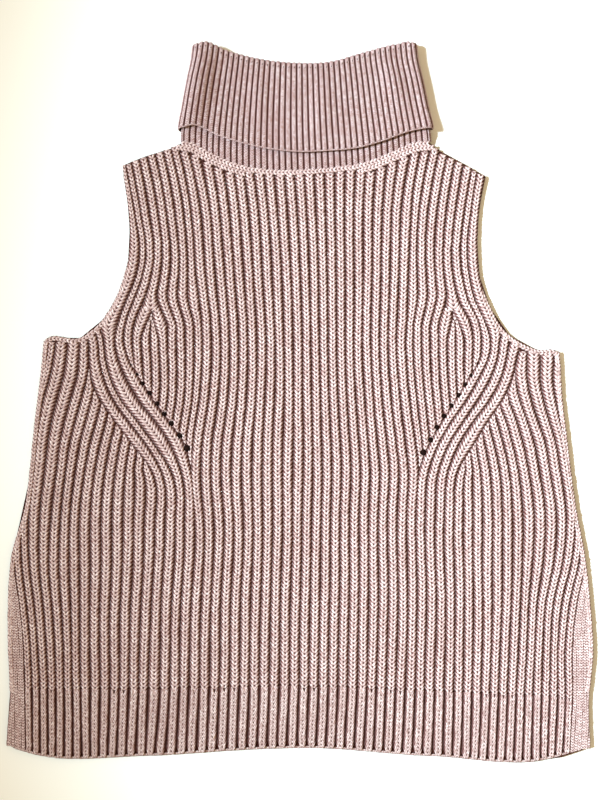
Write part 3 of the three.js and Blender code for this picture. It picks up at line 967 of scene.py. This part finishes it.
class Effects:
    """The node groups that several finishes share."""

    def __init__(self) -> None:
        """Builds each group once."""
        self.stitches = self.stitch_shade_masks()
        self.marl = self.marled_colour()
        self.ply = self.twisted_ply()

    def stitch_shade_masks(self) -> bpy.types.NodeTree:
        """Masks of the painted shade in a rib's valley, in the pit of each stitch and in the groove between
        stitches.
        """
        graph, given, made = new_group(
            "stitch_shade_masks",
            {"Stitch": None, "Valley Start": 0.6, "Valley End": 0.92, "Notch": 0.2, "Purl": 0.0},
            dict.fromkeys(("Valley", "Pit", "Groove"), "NodeSocketFloat"),
        )
        x, y = graph.parts(given["Stitch"])
        across = graph.math("ABSOLUTE", graph.math("MULTIPLY_ADD", x, 2.0, -1.0))
        beside = graph.math("ABSOLUTE", graph.math("SUBTRACT", y, graph.math("ROUND", y)))
        notch = graph.math("MULTIPLY", graph.fade(beside, 0.42, 0.05), given["Notch"])
        valley = graph.fade(graph.math("ADD", across, notch), given["Valley Start"], given["Valley End"])
        middle = graph.math("SUBTRACT", 1.0, graph.fade(across, 0.09, 0.32))
        near = graph.math("SUBTRACT", 1.0, graph.fade(beside, 0.13, 0.38))
        outer = graph.math("MULTIPLY_ADD", graph.fade(across, 0.05, 0.6), 0.6, 0.4)
        line = graph.math("MULTIPLY", graph.math("SUBTRACT", 1.0, graph.fade(beside, 0.04, 0.3)), outer)
        purl = graph.math("MULTIPLY", graph.fade(across, 0.74, 0.94), graph.fade(beside, 0.16, 0.42))
        purl = graph.math("MULTIPLY_ADD", purl, graph.math("MULTIPLY", given["Purl"], -1.0), 1.0)
        valley = graph.math("MULTIPLY", valley, purl)
        graph.fill(made, Valley=valley, Pit=graph.math("MULTIPLY", middle, near), Groove=line)
        return graph.tree

    def marled_colour(self) -> bpy.types.NodeTree:
        """The yarn's colour: two plies of slightly different shades with paler flecks."""
        graph, given, made = new_group(
            "marled_yarn",
            {"Place": None, "Yarn": (0.5, 0.4, 0.4, 1.0), "Fleck": (0.8, 0.7, 0.7, 1.0),
             "Shade": (0.3, 0.2, 0.2, 1.0), "Fleck Size": 700.0, "Fleck Amount": 0.5},
            {"Color": "NodeSocketColor"},
        )
        place, amount = given["Place"], given["Fleck Amount"]
        fine = graph.noise(place, given["Fleck Size"], 3.0)
        darker = graph.math("MULTIPLY", graph.fade(fine, 0.5, 0.36), amount)
        paler = graph.math("MULTIPLY", graph.fade(fine, 0.48, 0.62), amount)
        tone = graph.mix(paler, graph.mix(darker, given["Yarn"], given["Shade"]), given["Fleck"])
        uneven = graph.math("MULTIPLY", graph.fade(graph.noise(place, 260.0, 1.0), 0.4, 0.62), 0.32)
        worn = graph.math("MULTIPLY_ADD", graph.fade(graph.noise(place, 26.0), 0.3, 0.75), 0.18, uneven)
        graph.fill(made, Color=graph.mix(worn, tone, given["Shade"]))
        return graph.tree

    def twisted_ply(self) -> bpy.types.NodeTree:
        """Height of the plies twisted in the yarn, with loose fibre over them."""
        graph, given, made = new_group(
            "twisted_ply",
            {"Stitch": None, "Place": None, "Turns": 3.0, "Fibre Size": 2200.0},
            {"Height": "NodeSocketFloat"},
        )
        x, y = graph.parts(given["Stitch"])
        twist = graph.math("ADD", graph.math("MULTIPLY", x, given["Turns"]), y)
        wave = graph.math("SINE", graph.math("MULTIPLY", twist, 4 * math.pi))
        fibre = graph.noise(given["Place"], given["Fibre Size"])
        graph.fill(made, Height=graph.math("MULTIPLY_ADD", wave, 0.25, fibre))
        return graph.tree


@dataclass(frozen=True)
class KnitFinish:
    """Marled yarn knitted in ribs: pale on the crests, with painted shade that darkens the valleys, the pit
    in each stitch and the grooves between stitches to deep red-brown.
    """

    name: str
    yarn: Colour = (222, 197, 197)
    fleck: Colour = (255, 242, 242)
    shade: Colour = (160, 122, 118)
    # Colour of the painted shade in the valleys, the pits and the grooves.
    valley_shade: Colour = (80, 32, 26)
    valley_start: float = 0.56
    valley_end: float = 0.9
    notch: float = 0.3
    purl: float = 0.5
    # How strongly the painted shade darkens the valleys, the pits and the grooves.
    valley_shading: float = 0.95
    pit_shading: float = 0.95
    groove_shading: float = 0.75
    fleck_amount: float = 0.6
    turns: float = 3.0
    bump: float = 0.35

    def make(self, effects: Effects) -> bpy.types.Material:
        """Builds the material."""
        material, graph = new_material(self.name)
        stitch = graph.add("ShaderNodeUVMap", uv_map=STITCH_MAP).outputs["UV"]
        place = graph.add("ShaderNodeTexCoord").outputs["Object"]
        masks = graph.group(
            effects.stitches, Stitch=stitch, Valley_Start=self.valley_start, Valley_End=self.valley_end,
            Notch=self.notch, Purl=self.purl).outputs
        yarn = graph.group(
            effects.marl, Place=place, Yarn=linear(*self.yarn), Fleck=linear(*self.fleck),
            Shade=linear(*self.shade), Fleck_Amount=self.fleck_amount)
        # Painted shade: the valleys, the pit in each stitch and the grooves between stitches are mixed
        # towards the deep red-brown of the shade colour.
        groove = graph.math("MULTIPLY", masks["Groove"], self.groove_shading)
        pit = graph.math("MULTIPLY", masks["Pit"], self.pit_shading)
        valley = graph.math("MULTIPLY", masks["Valley"], self.valley_shading)
        dark = graph.math("MAXIMUM", graph.math("MAXIMUM", groove, pit), valley)
        ply = graph.group(effects.ply, Stitch=stitch, Place=place, Turns=self.turns)
        bump = graph.fill(
            graph.add("ShaderNodeBump"), Strength=self.bump, Distance=0.0006, Height=ply.outputs["Height"])
        graph.surface(
            Base_Color=graph.mix(dark, yarn.outputs["Color"], linear(*self.valley_shade)), Roughness=0.92,
            Specular_IOR_Level=0.08, Sheen_Weight=0.03, Sheen_Roughness=0.6, Normal=bump.outputs["Normal"])
        return material


@dataclass(frozen=True)
class ShadedGroundFinish:
    """The cloth between the ribs, seen only deep in the valleys, its yarn coloured deep red-brown as painted
    shade.
    """

    name: str
    # Tones of the painted shade deep in the valleys, not the yarn's own pale colour.
    light: Colour = (104, 66, 60)
    dark: Colour = (54, 24, 20)

    def make(self, effects: Effects) -> bpy.types.Material:
        """Builds the material."""
        material, graph = new_material(self.name)
        yarn = graph.group(
            effects.marl, Place=graph.add("ShaderNodeTexCoord").outputs["Object"], Yarn=linear(*self.dark),
            Fleck=linear(*self.light), Shade=linear(*self.dark), Fleck_Size=420.0, Fleck_Amount=0.8)
        graph.surface(Base_Color=yarn.outputs["Color"], Roughness=0.95, Specular_IOR_Level=0.1)
        return material


@dataclass(frozen=True)
class TableFinish:
    """A plain, pale, smooth table top."""

    name: str = "pale_table"
    light: Colour = (250, 252, 252)
    dark: Colour = (244, 246, 246)

    def make(self) -> bpy.types.Material:
        """Builds the material."""
        material, graph = new_material(self.name)
        place = graph.add("ShaderNodeTexCoord").outputs["Object"]
        tone = graph.fade(graph.noise(place, 1.5, 1.0), 0.35, 0.65)
        graph.surface(Base_Color=graph.mix(tone, linear(*self.light), linear(*self.dark)), Roughness=0.6)
        return material


# ---------------------------------------------------------------- pieces

class Slot(Enum):
    """The record's material slots."""

    BODY = "body_rib_knit"
    HEM = "hem_rib_knit"
    COLLAR = "collar_rib_knit"


def piece(name: str, mesh: bpy.types.Mesh, material: bpy.types.Material, slot: Slot) -> bpy.types.Object:
    """Puts a mesh in the scene as a piece that rides on the garment.

    Args:
        name: The piece's name.
        mesh: Its mesh, in metres.
        material: Its finish.
        slot: The record's slot that the finish belongs to; not used.

    Returns:
        The new object.
    """
    made = bpy.data.objects.new(name, mesh)
    bpy.context.scene.collection.objects.link(made)
    mesh.materials.clear()
    mesh.materials.append(material)
    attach(made, "root")
    LOG.info("%s: %d faces", name, len(mesh.polygons))
    return made


def ring_mesh(name: str, points: np.ndarray, flip: bool = False) -> bpy.types.Mesh:
    """A closed ring of points, joined up both ways.

    Args:
        name: Its name.
        points: Places round the ring by places round its section, in millimetres.
        flip: Turns the faces over.

    Returns:
        The mesh, in metres.
    """
    ids = np.arange(points.shape[0] * points.shape[1]).reshape(points.shape[:2])
    after, beside = np.roll(ids, -1, 0), np.roll(ids, -1, 1)
    loop = [ids, beside, np.roll(after, -1, 1), after]
    faces = np.stack([loop[0], *loop[:0:-1]] if flip else loop, -1).reshape(-1, 4)
    mesh = bpy.data.meshes.new(name)
    mesh.from_pydata((points.reshape(-1, 3) * MM).tolist(), [], faces.tolist())
    mesh.update()
    return mesh


@dataclass(frozen=True)
class Bench:
    """What the pieces are made with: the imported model's nodes, the plan of the ribs and the finishes."""

    nodes: dict[str, bpy.types.Object]
    plan: RibPlan
    body: bpy.types.Material
    hem: bpy.types.Material
    collar: bpy.types.Material
    border: bpy.types.Material
    ground: bpy.types.Material
    shadow: bpy.types.Material

    def thinned(self, node: str, name: str, squeeze: Callable[[np.ndarray], np.ndarray]) -> bpy.types.Mesh:
        """A thin closed cloth with a CAD piece's outline.

        Args:
            node: The CAD piece.
            name: The cloth's name.
            squeeze: Gives each point's new height, from points in millimetres.

        Returns:
            A mesh of its own.
        """
        mesh = self.nodes[node].data.copy()
        mesh.name = name
        flat = np.empty(len(mesh.vertices) * 3, np.float32)
        mesh.vertices.foreach_get("co", flat)
        points = flat.reshape(-1, 3) / MM
        points[:, 2] = squeeze(points)
        mesh.vertices.foreach_set("co", (points * MM).astype(np.float32).ravel())
        mesh.update()
        return mesh

    def lay(self, mesh: bpy.types.Mesh, slot: Slot, node: str, **sheet: object) -> None:
        """Lays the cloth under the ribs in a CAD piece's place.

        Args:
            mesh: The cloth, with its name.
            slot: The record's slot.
            node: The CAD piece that it stands for.
            **sheet: How it is cut, held and laid; not used.
        """
        cloth = piece(mesh.name, mesh, self.ground, slot)
        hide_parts(node)


@dataclass
class FrontPanel:
    """The front above its hem: the cloth, the ribs in three pieces, the border, the edges and the eyelets."""

    flat: tuple[float, float] = (0.5624, 0.5346)
    area: float = 0.245
    neck_band: float = 3.6
    neck_side: float = 9.0
    neck_middle: float = 3.0
    side_from: float = 52.0
    side_blend: float = 14.0
    border_lift: float = 0.5
    border_half: float = 3.1
    border_inset: float = 2.4
    border_step: float = 4.5
    edge_half: float = 2.6
    edge_end: float = 30.0
    eyelet_sides: int = 12

    def top(self, x: np.ndarray) -> np.ndarray:
        """Upper limit of the ribs: the shoulders, the ledges and the border under the collar."""
        slope = (height_over(FRONT_NECK, x + 1) - height_over(FRONT_NECK, x - 1)) / 2
        beside = smooth_step((np.abs(x - self.neck_middle) - self.side_from) / self.side_blend)
        border = self.neck_band + (self.neck_side - self.neck_band) * beside
        under_neck = height_over(FRONT_NECK, x) - border * np.hypot(1, slope)
        inside = (x > FRONT_NECK[0].x) & (x < FRONT_NECK[-1].x)
        return np.where(inside, under_neck, height_over(SHOULDERS, x) - SHOULDER_INSET)

    def foot(self, x: np.ndarray) -> np.ndarray:
        """Lower limit of the ribs, just over the hem's seam."""
        return height_over(HEM_TOP, x) - 1.0

    def squeeze(self, points: np.ndarray) -> np.ndarray:
        """Thins the cloth to the layer under the ribs."""
        under = front_under(points[:, 0], points[:, 1])
        return under + np.clip(points[:, 2] - under, 0, None) * GROUND_CLOTH / WALL

    def build(self, bench: Bench) -> None:
        """Makes the ribs, the border, the edges, the eyelets and the cloth."""
        made = []
        for side in ("left", "middle", "right"):
            cloth = Cloth()
            cloth.holes = LEFT_EYELETS + RIGHT_EYELETS
            bench.plan.spread(
                cloth, getattr(bench.plan, f"{side}_ribs"), self.top, self.foot, over_front(GROUND_CLOTH))
            made.append(cloth.piece(f"front_{side}_ribs", bench.body, Slot.BODY))
        made.append(self.border().piece("neck_border", bench.border, Slot.BODY))
        made.append(self.edging().piece("front_edges", bench.border, Slot.BODY))
        made.append(self.eyelets().piece("eyelets", bench.shadow, Slot.BODY))
        mesh = bench.thinned("front_panel", "front_cloth", self.squeeze)
        bench.lay(mesh, Slot.BODY, "front_panel", flat=self.flat, held="laid", rests_on=["back_cloth"],
                  area=self.area, with_pieces=made)

    def edging(self) -> Cloth:
        """The knitted edges: down both sides, along the ledges and round the lower armholes."""
        cloth = Cloth()
        floor = over_front(GROUND_CLOTH * 0.5)
        inset = self.edge_half * 0.8
        for side, ledge, armhole, out in (
            (LEFT_SIDE, LEFT_LEDGE, LEFT_ARMHOLE, -1), (RIGHT_SIDE, RIGHT_LEDGE[::-1], RIGHT_ARMHOLE, 1),
        ):
            y = np.arange(HEM_TOP[0].y - 2, side[-1].y - 2, GRID_STEP)
            path = np.stack([column(side, "x", y) - out * inset, y], -1)
            cloth.knit(path, np.full(len(y), self.edge_half), SHAPES[Stitch.BRAID], floor)
            points = np.array([*ledge, *armhole[1:5]], float)
            run = np.concatenate([[0], np.cumsum(np.hypot(*np.diff(points, axis=0).T))])
            at = np.arange(0, run[-1], GRID_STEP)
            line = np.stack([curve_through(run, points[:, axis], at) for axis in (0, 1)], -1)
            tangent = np.gradient(line, at, axis=0)
            line += out * np.stack([-tangent[:, 1], tangent[:, 0]], -1) * inset
            half = self.edge_half * smooth_step((run[-1] - at) / self.edge_end + 0.15)
            cloth.knit(line, half, SHAPES[Stitch.BRAID], floor)
        return cloth

    def eyelets(self) -> Cloth:
        """The dark bottoms of the eyelets, where the layer behind shows in shadow."""
        cloth = Cloth()
        share = np.linspace(0, 1, self.eyelet_sides + 1)
        ring = np.append(share[:-1], 0.0) * 2 * math.pi
        for hole in LEFT_EYELETS + RIGHT_EYELETS:
            x = hole.x + hole.radius * np.cos(ring)
            y = hole.y + hole.radius * np.sin(ring)
            base = float(front_under(np.array(hole.x), np.array(hole.y))) + GROUND_CLOTH
            rings = [np.stack([x, y, np.full(len(x), base + lift)], -1) for lift in (-0.2, 0.25)]
            cloth.grid(np.stack(rings), np.array([0.0, 0.2]), share)
        return cloth

    def border(self) -> Cloth:
        """The braided border along the neck seam, doubled at both sides."""
        cloth = Cloth()
        outer = self.border_inset + self.border_step
        for inset, low, high in ((self.border_inset, -114, 125), (outer, -118, -50), (outer, 56, 129)):
            x = np.arange(low, high, GRID_STEP)
            y = height_over(FRONT_NECK, x)
            slope = np.gradient(y, x)
            steep = np.hypot(1, slope)
            path = np.stack([x + inset * slope / steep, y - inset / steep], -1)
            floor = over_front(GROUND_CLOTH + self.border_lift)
            cloth.knit(path, np.full(len(x), self.border_half), SHAPES[Stitch.BRAID], floor)
        return cloth


@dataclass
class BackPanel:
    """The back above its hem, ribbed on the side it lies on."""

    flat: tuple[float, float] = (0.5618, 0.5346)
    area: float = 0.25

    def top(self, x: np.ndarray) -> np.ndarray:
        """Upper limit of the ribs."""
        inside = (x > BACK_NECK[0].x) & (x < BACK_NECK[-1].x)
        return np.where(inside, height_over(BACK_NECK, x) - 1.0, height_over(SHOULDERS, x) - SHOULDER_INSET)

    def foot(self, x: np.ndarray) -> np.ndarray:
        """Lower limit of the ribs."""
        return height_over(HEM_TOP, x) + 0.4

    def squeeze(self, points: np.ndarray) -> np.ndarray:
        """Thins the cloth to the layer over the ribs."""
        return WALL - (WALL - points[:, 2]) * GROUND_CLOTH / WALL

    def build(self, bench: Bench) -> None:
        """Makes the ribs and the cloth."""
        cloth = Cloth()
        floor = level(WALL - GROUND_CLOTH)
        bench.plan.spread(cloth, bench.plan.ribs, self.top, self.foot, floor, Stitch.COARSE_BACK, -1)
        made = cloth.piece("back_ribs", bench.body, Slot.BODY)
        mesh = bench.thinned("back_panel", "back_cloth", self.squeeze)
        bench.lay(mesh, Slot.BODY, "back_panel", flat=self.flat, held="laid", rests_on=["floor"],
                  area=self.area, with_pieces=[made])


@dataclass
class HemRib:
    """One of the two hem ribs, which carry on the body's columns."""

    side: str
    faces_up: bool
    under: float
    below: str
    flat: tuple[float, float] = (0.558, 0.071)
    area: float = 0.0345
    edge_half: float = 1.4
    edge_inset: float = 1.3

    def top(self, x: np.ndarray) -> np.ndarray:
        """Upper limit of the ribs."""
        return height_over(HEM_TOP, x) + 1.0

    def foot(self, x: np.ndarray) -> np.ndarray:
        """Lower limit of the ribs."""
        return height_over(HEM_FOOT, x) + 0.3

    def squeeze(self, points: np.ndarray) -> np.ndarray:
        """Thins the cloth to the layer behind the ribs."""
        depth = (points[:, 2] - self.under) * GROUND_CLOTH / WALL
        return self.under + depth + (0.0 if self.faces_up else WALL - GROUND_CLOTH)

    def build(self, bench: Bench) -> None:
        """Makes the ribs, the cast-off edge of the one that shows, and the cloth."""
        cloth = Cloth()
        floor = level(self.under + (GROUND_CLOTH if self.faces_up else WALL - GROUND_CLOTH))
        stitch, facing = (Stitch.DEEP_RIB, 1) if self.faces_up else (Stitch.COARSE_BACK, -1)
        bench.plan.spread(cloth, bench.plan.ribs, self.top, self.foot, floor, stitch, facing)
        if self.faces_up:
            x = np.arange(HEM_FOOT[0].x + 1, HEM_FOOT[-1].x - 1, GRID_STEP)
            path = np.stack([x, height_over(HEM_FOOT, x) + self.edge_inset], -1)
            cloth.knit(path, np.full(len(x), self.edge_half), SHAPES[Stitch.FINE_RIB], floor)
        made = cloth.piece(f"{self.side}_hem_ribs", bench.hem, Slot.HEM)
        node = f"{self.side}_hem_rib"
        mesh = bench.thinned(node, f"{self.side}_hem_cloth", self.squeeze)
        bench.lay(mesh, Slot.HEM, node, flat=self.flat, held="laid", rests_on=[self.below],
                  area=self.area, with_pieces=[made])


@dataclass
class RollCollar:
    """The roll neck: a fine-rib tube, folded over outwards, with a rolled free edge."""

    form: RollForm = field(default_factory=RollForm)
    flat: tuple[float, float] = (0.49, 0.19)
    turned_length: float = 84.0
    fold_length: float = 11.0
    stand_rows: int = 27
    fine_until: float = 1.76  # places round the ring where the fine ribs change to coarse ones
    stand_until: float = 1.51
    end_run: float = 0.018
    end_height: float = 0.2
    ground_half: float = 0.45
    lip_radius: float = 0.7
    lip_stitches: int = 520
    lip_sides: int = 8
    lip_out: float = 0.1
    lip_up: float = 0.3
    ground_columns: int = 30
    ground_bend: int = 8
    ground_rows: int = 8

    def strip(
        self, cloth: Cloth, side: Callable[[np.ndarray, np.ndarray, np.ndarray], np.ndarray],
        line: tuple[float, float], runs: np.ndarray, shape: StitchShape,
    ) -> None:
        """Adds one fine rib on a side of the collar.

        Args:
            cloth: What the rib is added to.
            side: Gives points from the place round the ring, the run and the distance out.
            line: Places round the ring of its two valleys.
            runs: The run of each row.
            shape: Its stitches.
        """
        across = shape.across()
        turn = np.arange(len(runs))
        step = np.gradient(runs) * len(shape.rows)
        run = runs[:, None] + step[:, None] * shape.lean * (np.abs(across)[None, :] - LEAN_CENTRE)
        run = np.clip(run, runs[0], runs[-1])
        around = line[0] + (line[1] - line[0]) * (across[None, :] + 1) / 2 + 0 * run
        rounded = self.end_height + (1 - self.end_height) * np.sqrt(np.clip(run / self.end_run, 0.0, 1.0))
        points = side(around, run, self.ground_half + shape.heights(turn) * rounded)
        cloth.grid(points, turn / len(shape.rows), (across + 1) / 2)

    def runs(self, pitch: float) -> np.ndarray:
        """Runs of the rows over the turned-down part and the fold."""
        turned = np.linspace(0, 1, int(self.turned_length / pitch) + 1)
        return np.concatenate([turned, np.linspace(1, 2, int(self.fold_length / pitch) + 1)[1:]])

    def build(self, bench: Bench) -> None:
        """Makes the ribs, the rolled edge and the cloth."""
        front, back, stand = Cloth(), Cloth(), Cloth()
        fine, coarse = SHAPES[Stitch.FINE_RIB], SHAPES[Stitch.COARSE_COLLAR]
        lines = self.form.rib_lines()
        for line in zip(lines, lines[1:]):
            beyond = min(line[1], 5.0 - line[0])
            if beyond <= self.fine_until:
                self.strip(front, self.form.outside, line, self.runs(fine.pitch / len(fine.rows)), fine)
            else:
                self.strip(back, self.form.outside, line, self.runs(coarse.pitch), coarse)
            if beyond <= self.stand_until:
                self.strip(stand, self.form.stand, line, np.linspace(0, 1, self.stand_rows), fine)
        made = [
            cloth.piece(f"collar_{name}_ribs", bench.collar, Slot.COLLAR)
            for name, cloth in (("front", front), ("back", back), ("stand", stand))
        ]
        made.append(piece("collar_lip", self.lip(), bench.collar, Slot.COLLAR))
        bench.lay(self.ground(), Slot.COLLAR, "roll_neck_collar", flat=self.flat, held="folded",
                  rests_on=["front_cloth", "back_cloth"], with_pieces=made)

    def lip(self) -> bpy.types.Mesh:
        """The rolled free edge, a thin knitted roll all round."""
        around = np.linspace(0, 4, self.lip_stitches + 1)[:-1]
        seam, edge, _ = self.form.levels(around)
        angle = np.linspace(0, 2 * math.pi, self.lip_sides + 1)[None, :-1]
        bead = (self.lip_radius * (1 + 0.1 * np.cos(np.arange(len(around)) * math.pi)))[:, None]
        flare = self.form.flare(around, 0 * around)[:, None]
        out = COLLAR_PITCH + self.lip_out + flare + bead * np.cos(angle)
        y = edge[:, None] + self.lip_up + bead * np.sin(angle)
        points = self.form.place(around[:, None] + 0 * out, out, y, seam[:, None] + 0 * out)
        mesh = ring_mesh("collar_lip", points)
        rows, columns = points.shape[:2]
        across = np.tile(np.arange(columns), rows)
        along = np.repeat(np.arange(rows), columns)
        places = np.stack([
            np.stack([0.3 + 0.4 * (across + j) / columns, (along + i) / 2.0], -1)
            for i, j in ((0, 0), (0, 1), (1, 1), (1, 0))
        ], 1)
        mesh.uv_layers.new(name=STITCH_MAP).data.foreach_set("uv", places.astype(np.float32).ravel())
        mesh.shade_smooth()
        return mesh

    def ground(self) -> bpy.types.Mesh:
        """The thin closed cloth that the fine ribs stand on, folded like the collar."""
        front = np.linspace(0, 1, self.ground_columns + 1)[:-1]
        bend = np.linspace(0, 1, self.ground_bend + 1)[:-1]
        around = np.concatenate([front, 1 + bend, 2 + front, 3 + bend])
        rows = self.ground_rows
        runs = np.concatenate([
            np.linspace(0, 1, rows + 1), np.linspace(1, 2, rows + 1)[1:], np.linspace(2, 3, rows + 2)[1:]])
        proud = np.repeat([self.ground_half, -self.ground_half], len(runs))
        grids = np.meshgrid(around, np.concatenate([runs, runs[::-1]]), indexing="ij")
        return ring_mesh("collar_cloth", self.form.outside(*grids, proud[None, :] + 0 * grids[0]), flip=True)


@dataclass
class Studio:
    """The table, the light and the camera over the garment, in metres."""

    camera_place: tuple[float, float, float] = (-0.0005, 0.0024, 1.072)
    lens: float = 50.0
    table_size: float = 2.6
    table_height: float = -0.0004
    backdrop: Colour = (0.94, 0.93, 0.91)
    room_colour: Colour = (1.0, 0.76, 0.45)
    room_strength: float = 0.70
    key_place: tuple[float, float, float] = (-2.4, 0.4, 2.6)
    key_aim: tuple[float, float, float] = (2.6, -0.18, 0.0)
    key_power: float = 1500.0
    key_colour: Colour = (0.74, 0.92, 1.0)
    key_size: float = 0.25
    key_angle: float = 48.6
    key_blend: float = 0.4

    def add(self, name: str, data: bpy.types.ID) -> bpy.types.Object:
        """A new object in the scene."""
        made = bpy.data.objects.new(name, data)
        bpy.context.scene.collection.objects.link(made)
        return made

    def table(self) -> None:
        """A plain pale table under the garment."""
        half = self.table_size / 2
        corners = [(x * half, y * half, self.table_height) for x, y in ((-1, -1), (1, -1), (1, 1), (-1, 1))]
        mesh = bpy.data.meshes.new("floor")
        mesh.from_pydata(corners, [], [(0, 1, 2, 3)])
        mesh.materials.append(TableFinish().make())
        self.add("floor", mesh)

    def key(self) -> None:
        """One soft-edged lamp from the left, whose pool of light fades towards the garment's left."""
        data = bpy.data.lights.new("key", "SPOT")
        data.energy = self.key_power
        data.color = self.key_colour
        data.shadow_soft_size = self.key_size
        data.spot_size = math.radians(self.key_angle)
        data.spot_blend = self.key_blend
        made = self.add("key", data)
        made.location = self.key_place
        away = np.array(self.key_aim) - np.array(self.key_place)
        tilt = math.atan2(math.hypot(away[0], away[1]), -away[2])
        made.rotation_euler = (tilt, 0.0, math.atan2(away[1], away[0]) - math.pi / 2)

    def room(self) -> None:
        """The warm light of the room, in front of a pale plain backdrop."""
        world = bpy.data.worlds.new("studio")
        world.use_nodes = True
        graph = Graph(world.node_tree)
        warm = graph.fill(
            graph.add("ShaderNodeBackground"), Color=(*self.room_colour, 1.0), Strength=self.room_strength)
        pale = graph.fill(graph.add("ShaderNodeBackground"), Color=(*self.backdrop, 1.0))
        both = graph.add("ShaderNodeMixShader")
        graph.plug(both.inputs[0], graph.add("ShaderNodeLightPath").outputs["Is Camera Ray"])
        graph.plug(both.inputs[1], warm.outputs[0])
        graph.plug(both.inputs[2], pale.outputs[0])
        graph.fill(graph.add("ShaderNodeOutputWorld"), Surface=both.outputs[0])
        bpy.context.scene.world = world

    def camera(self) -> None:
        """A camera straight above the garment."""
        data = bpy.data.cameras.new("camera")
        data.lens = self.lens
        made = self.add("camera", data)
        made.location = self.camera_place
        bpy.context.scene.camera = made

    def build(self) -> None:
        """Sets up everything that isn't the garment."""
        self.camera()
        self.table()
        self.room()
        self.key()
        bpy.context.scene.view_settings.view_transform = "Standard"


def make_bench(nodes: dict[str, bpy.types.Object]) -> Bench:
    """Plans the ribs and makes the finishes.

    Args:
        nodes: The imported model's objects by node.

    Returns:
        What the pieces are made with.
    """
    effects = Effects()
    return Bench(
        nodes, RibPlan(),
        body=KnitFinish("body_yarn").make(effects),
        hem=KnitFinish("hem_yarn", groove_shading=0.78, pit_shading=0.9, valley_start=0.54, valley_end=0.82,
                       notch=0.18, purl=0.1).make(effects),
        collar=KnitFinish("collar_yarn", yarn=(190, 166, 169), fleck=(236, 218, 222), groove_shading=0.6,
                          pit_shading=0.5, valley_start=0.52, valley_end=0.86, notch=0.1,
                          purl=0.0).make(effects),
        border=KnitFinish("border_yarn", valley_start=0.78, valley_end=1.05, purl=0.2).make(effects),
        ground=ShadedGroundFinish("shaded_ground_yarn").make(effects),
        shadow=ShadedGroundFinish("shadowed_yarn", light=(40, 18, 14), dark=(18, 7, 5)).make(effects),
    )


def main() -> None:
    """Builds the garment in order and reports each piece."""
    logging.basicConfig(level=logging.INFO, format="%(name)s: %(message)s")
    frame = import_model()
    Studio().build()
    bench = make_bench(frame["nodes"])
    BackPanel().build(bench)
    HemRib("back", faces_up=False, under=0.0, below="floor").build(bench)
    FrontPanel().build(bench)
    HemRib("front", faces_up=True, under=FRONT_FLOOR, below="back_hem_cloth").build(bench)
    RollCollar().build(bench)


if __name__ == "__main__":
    main()
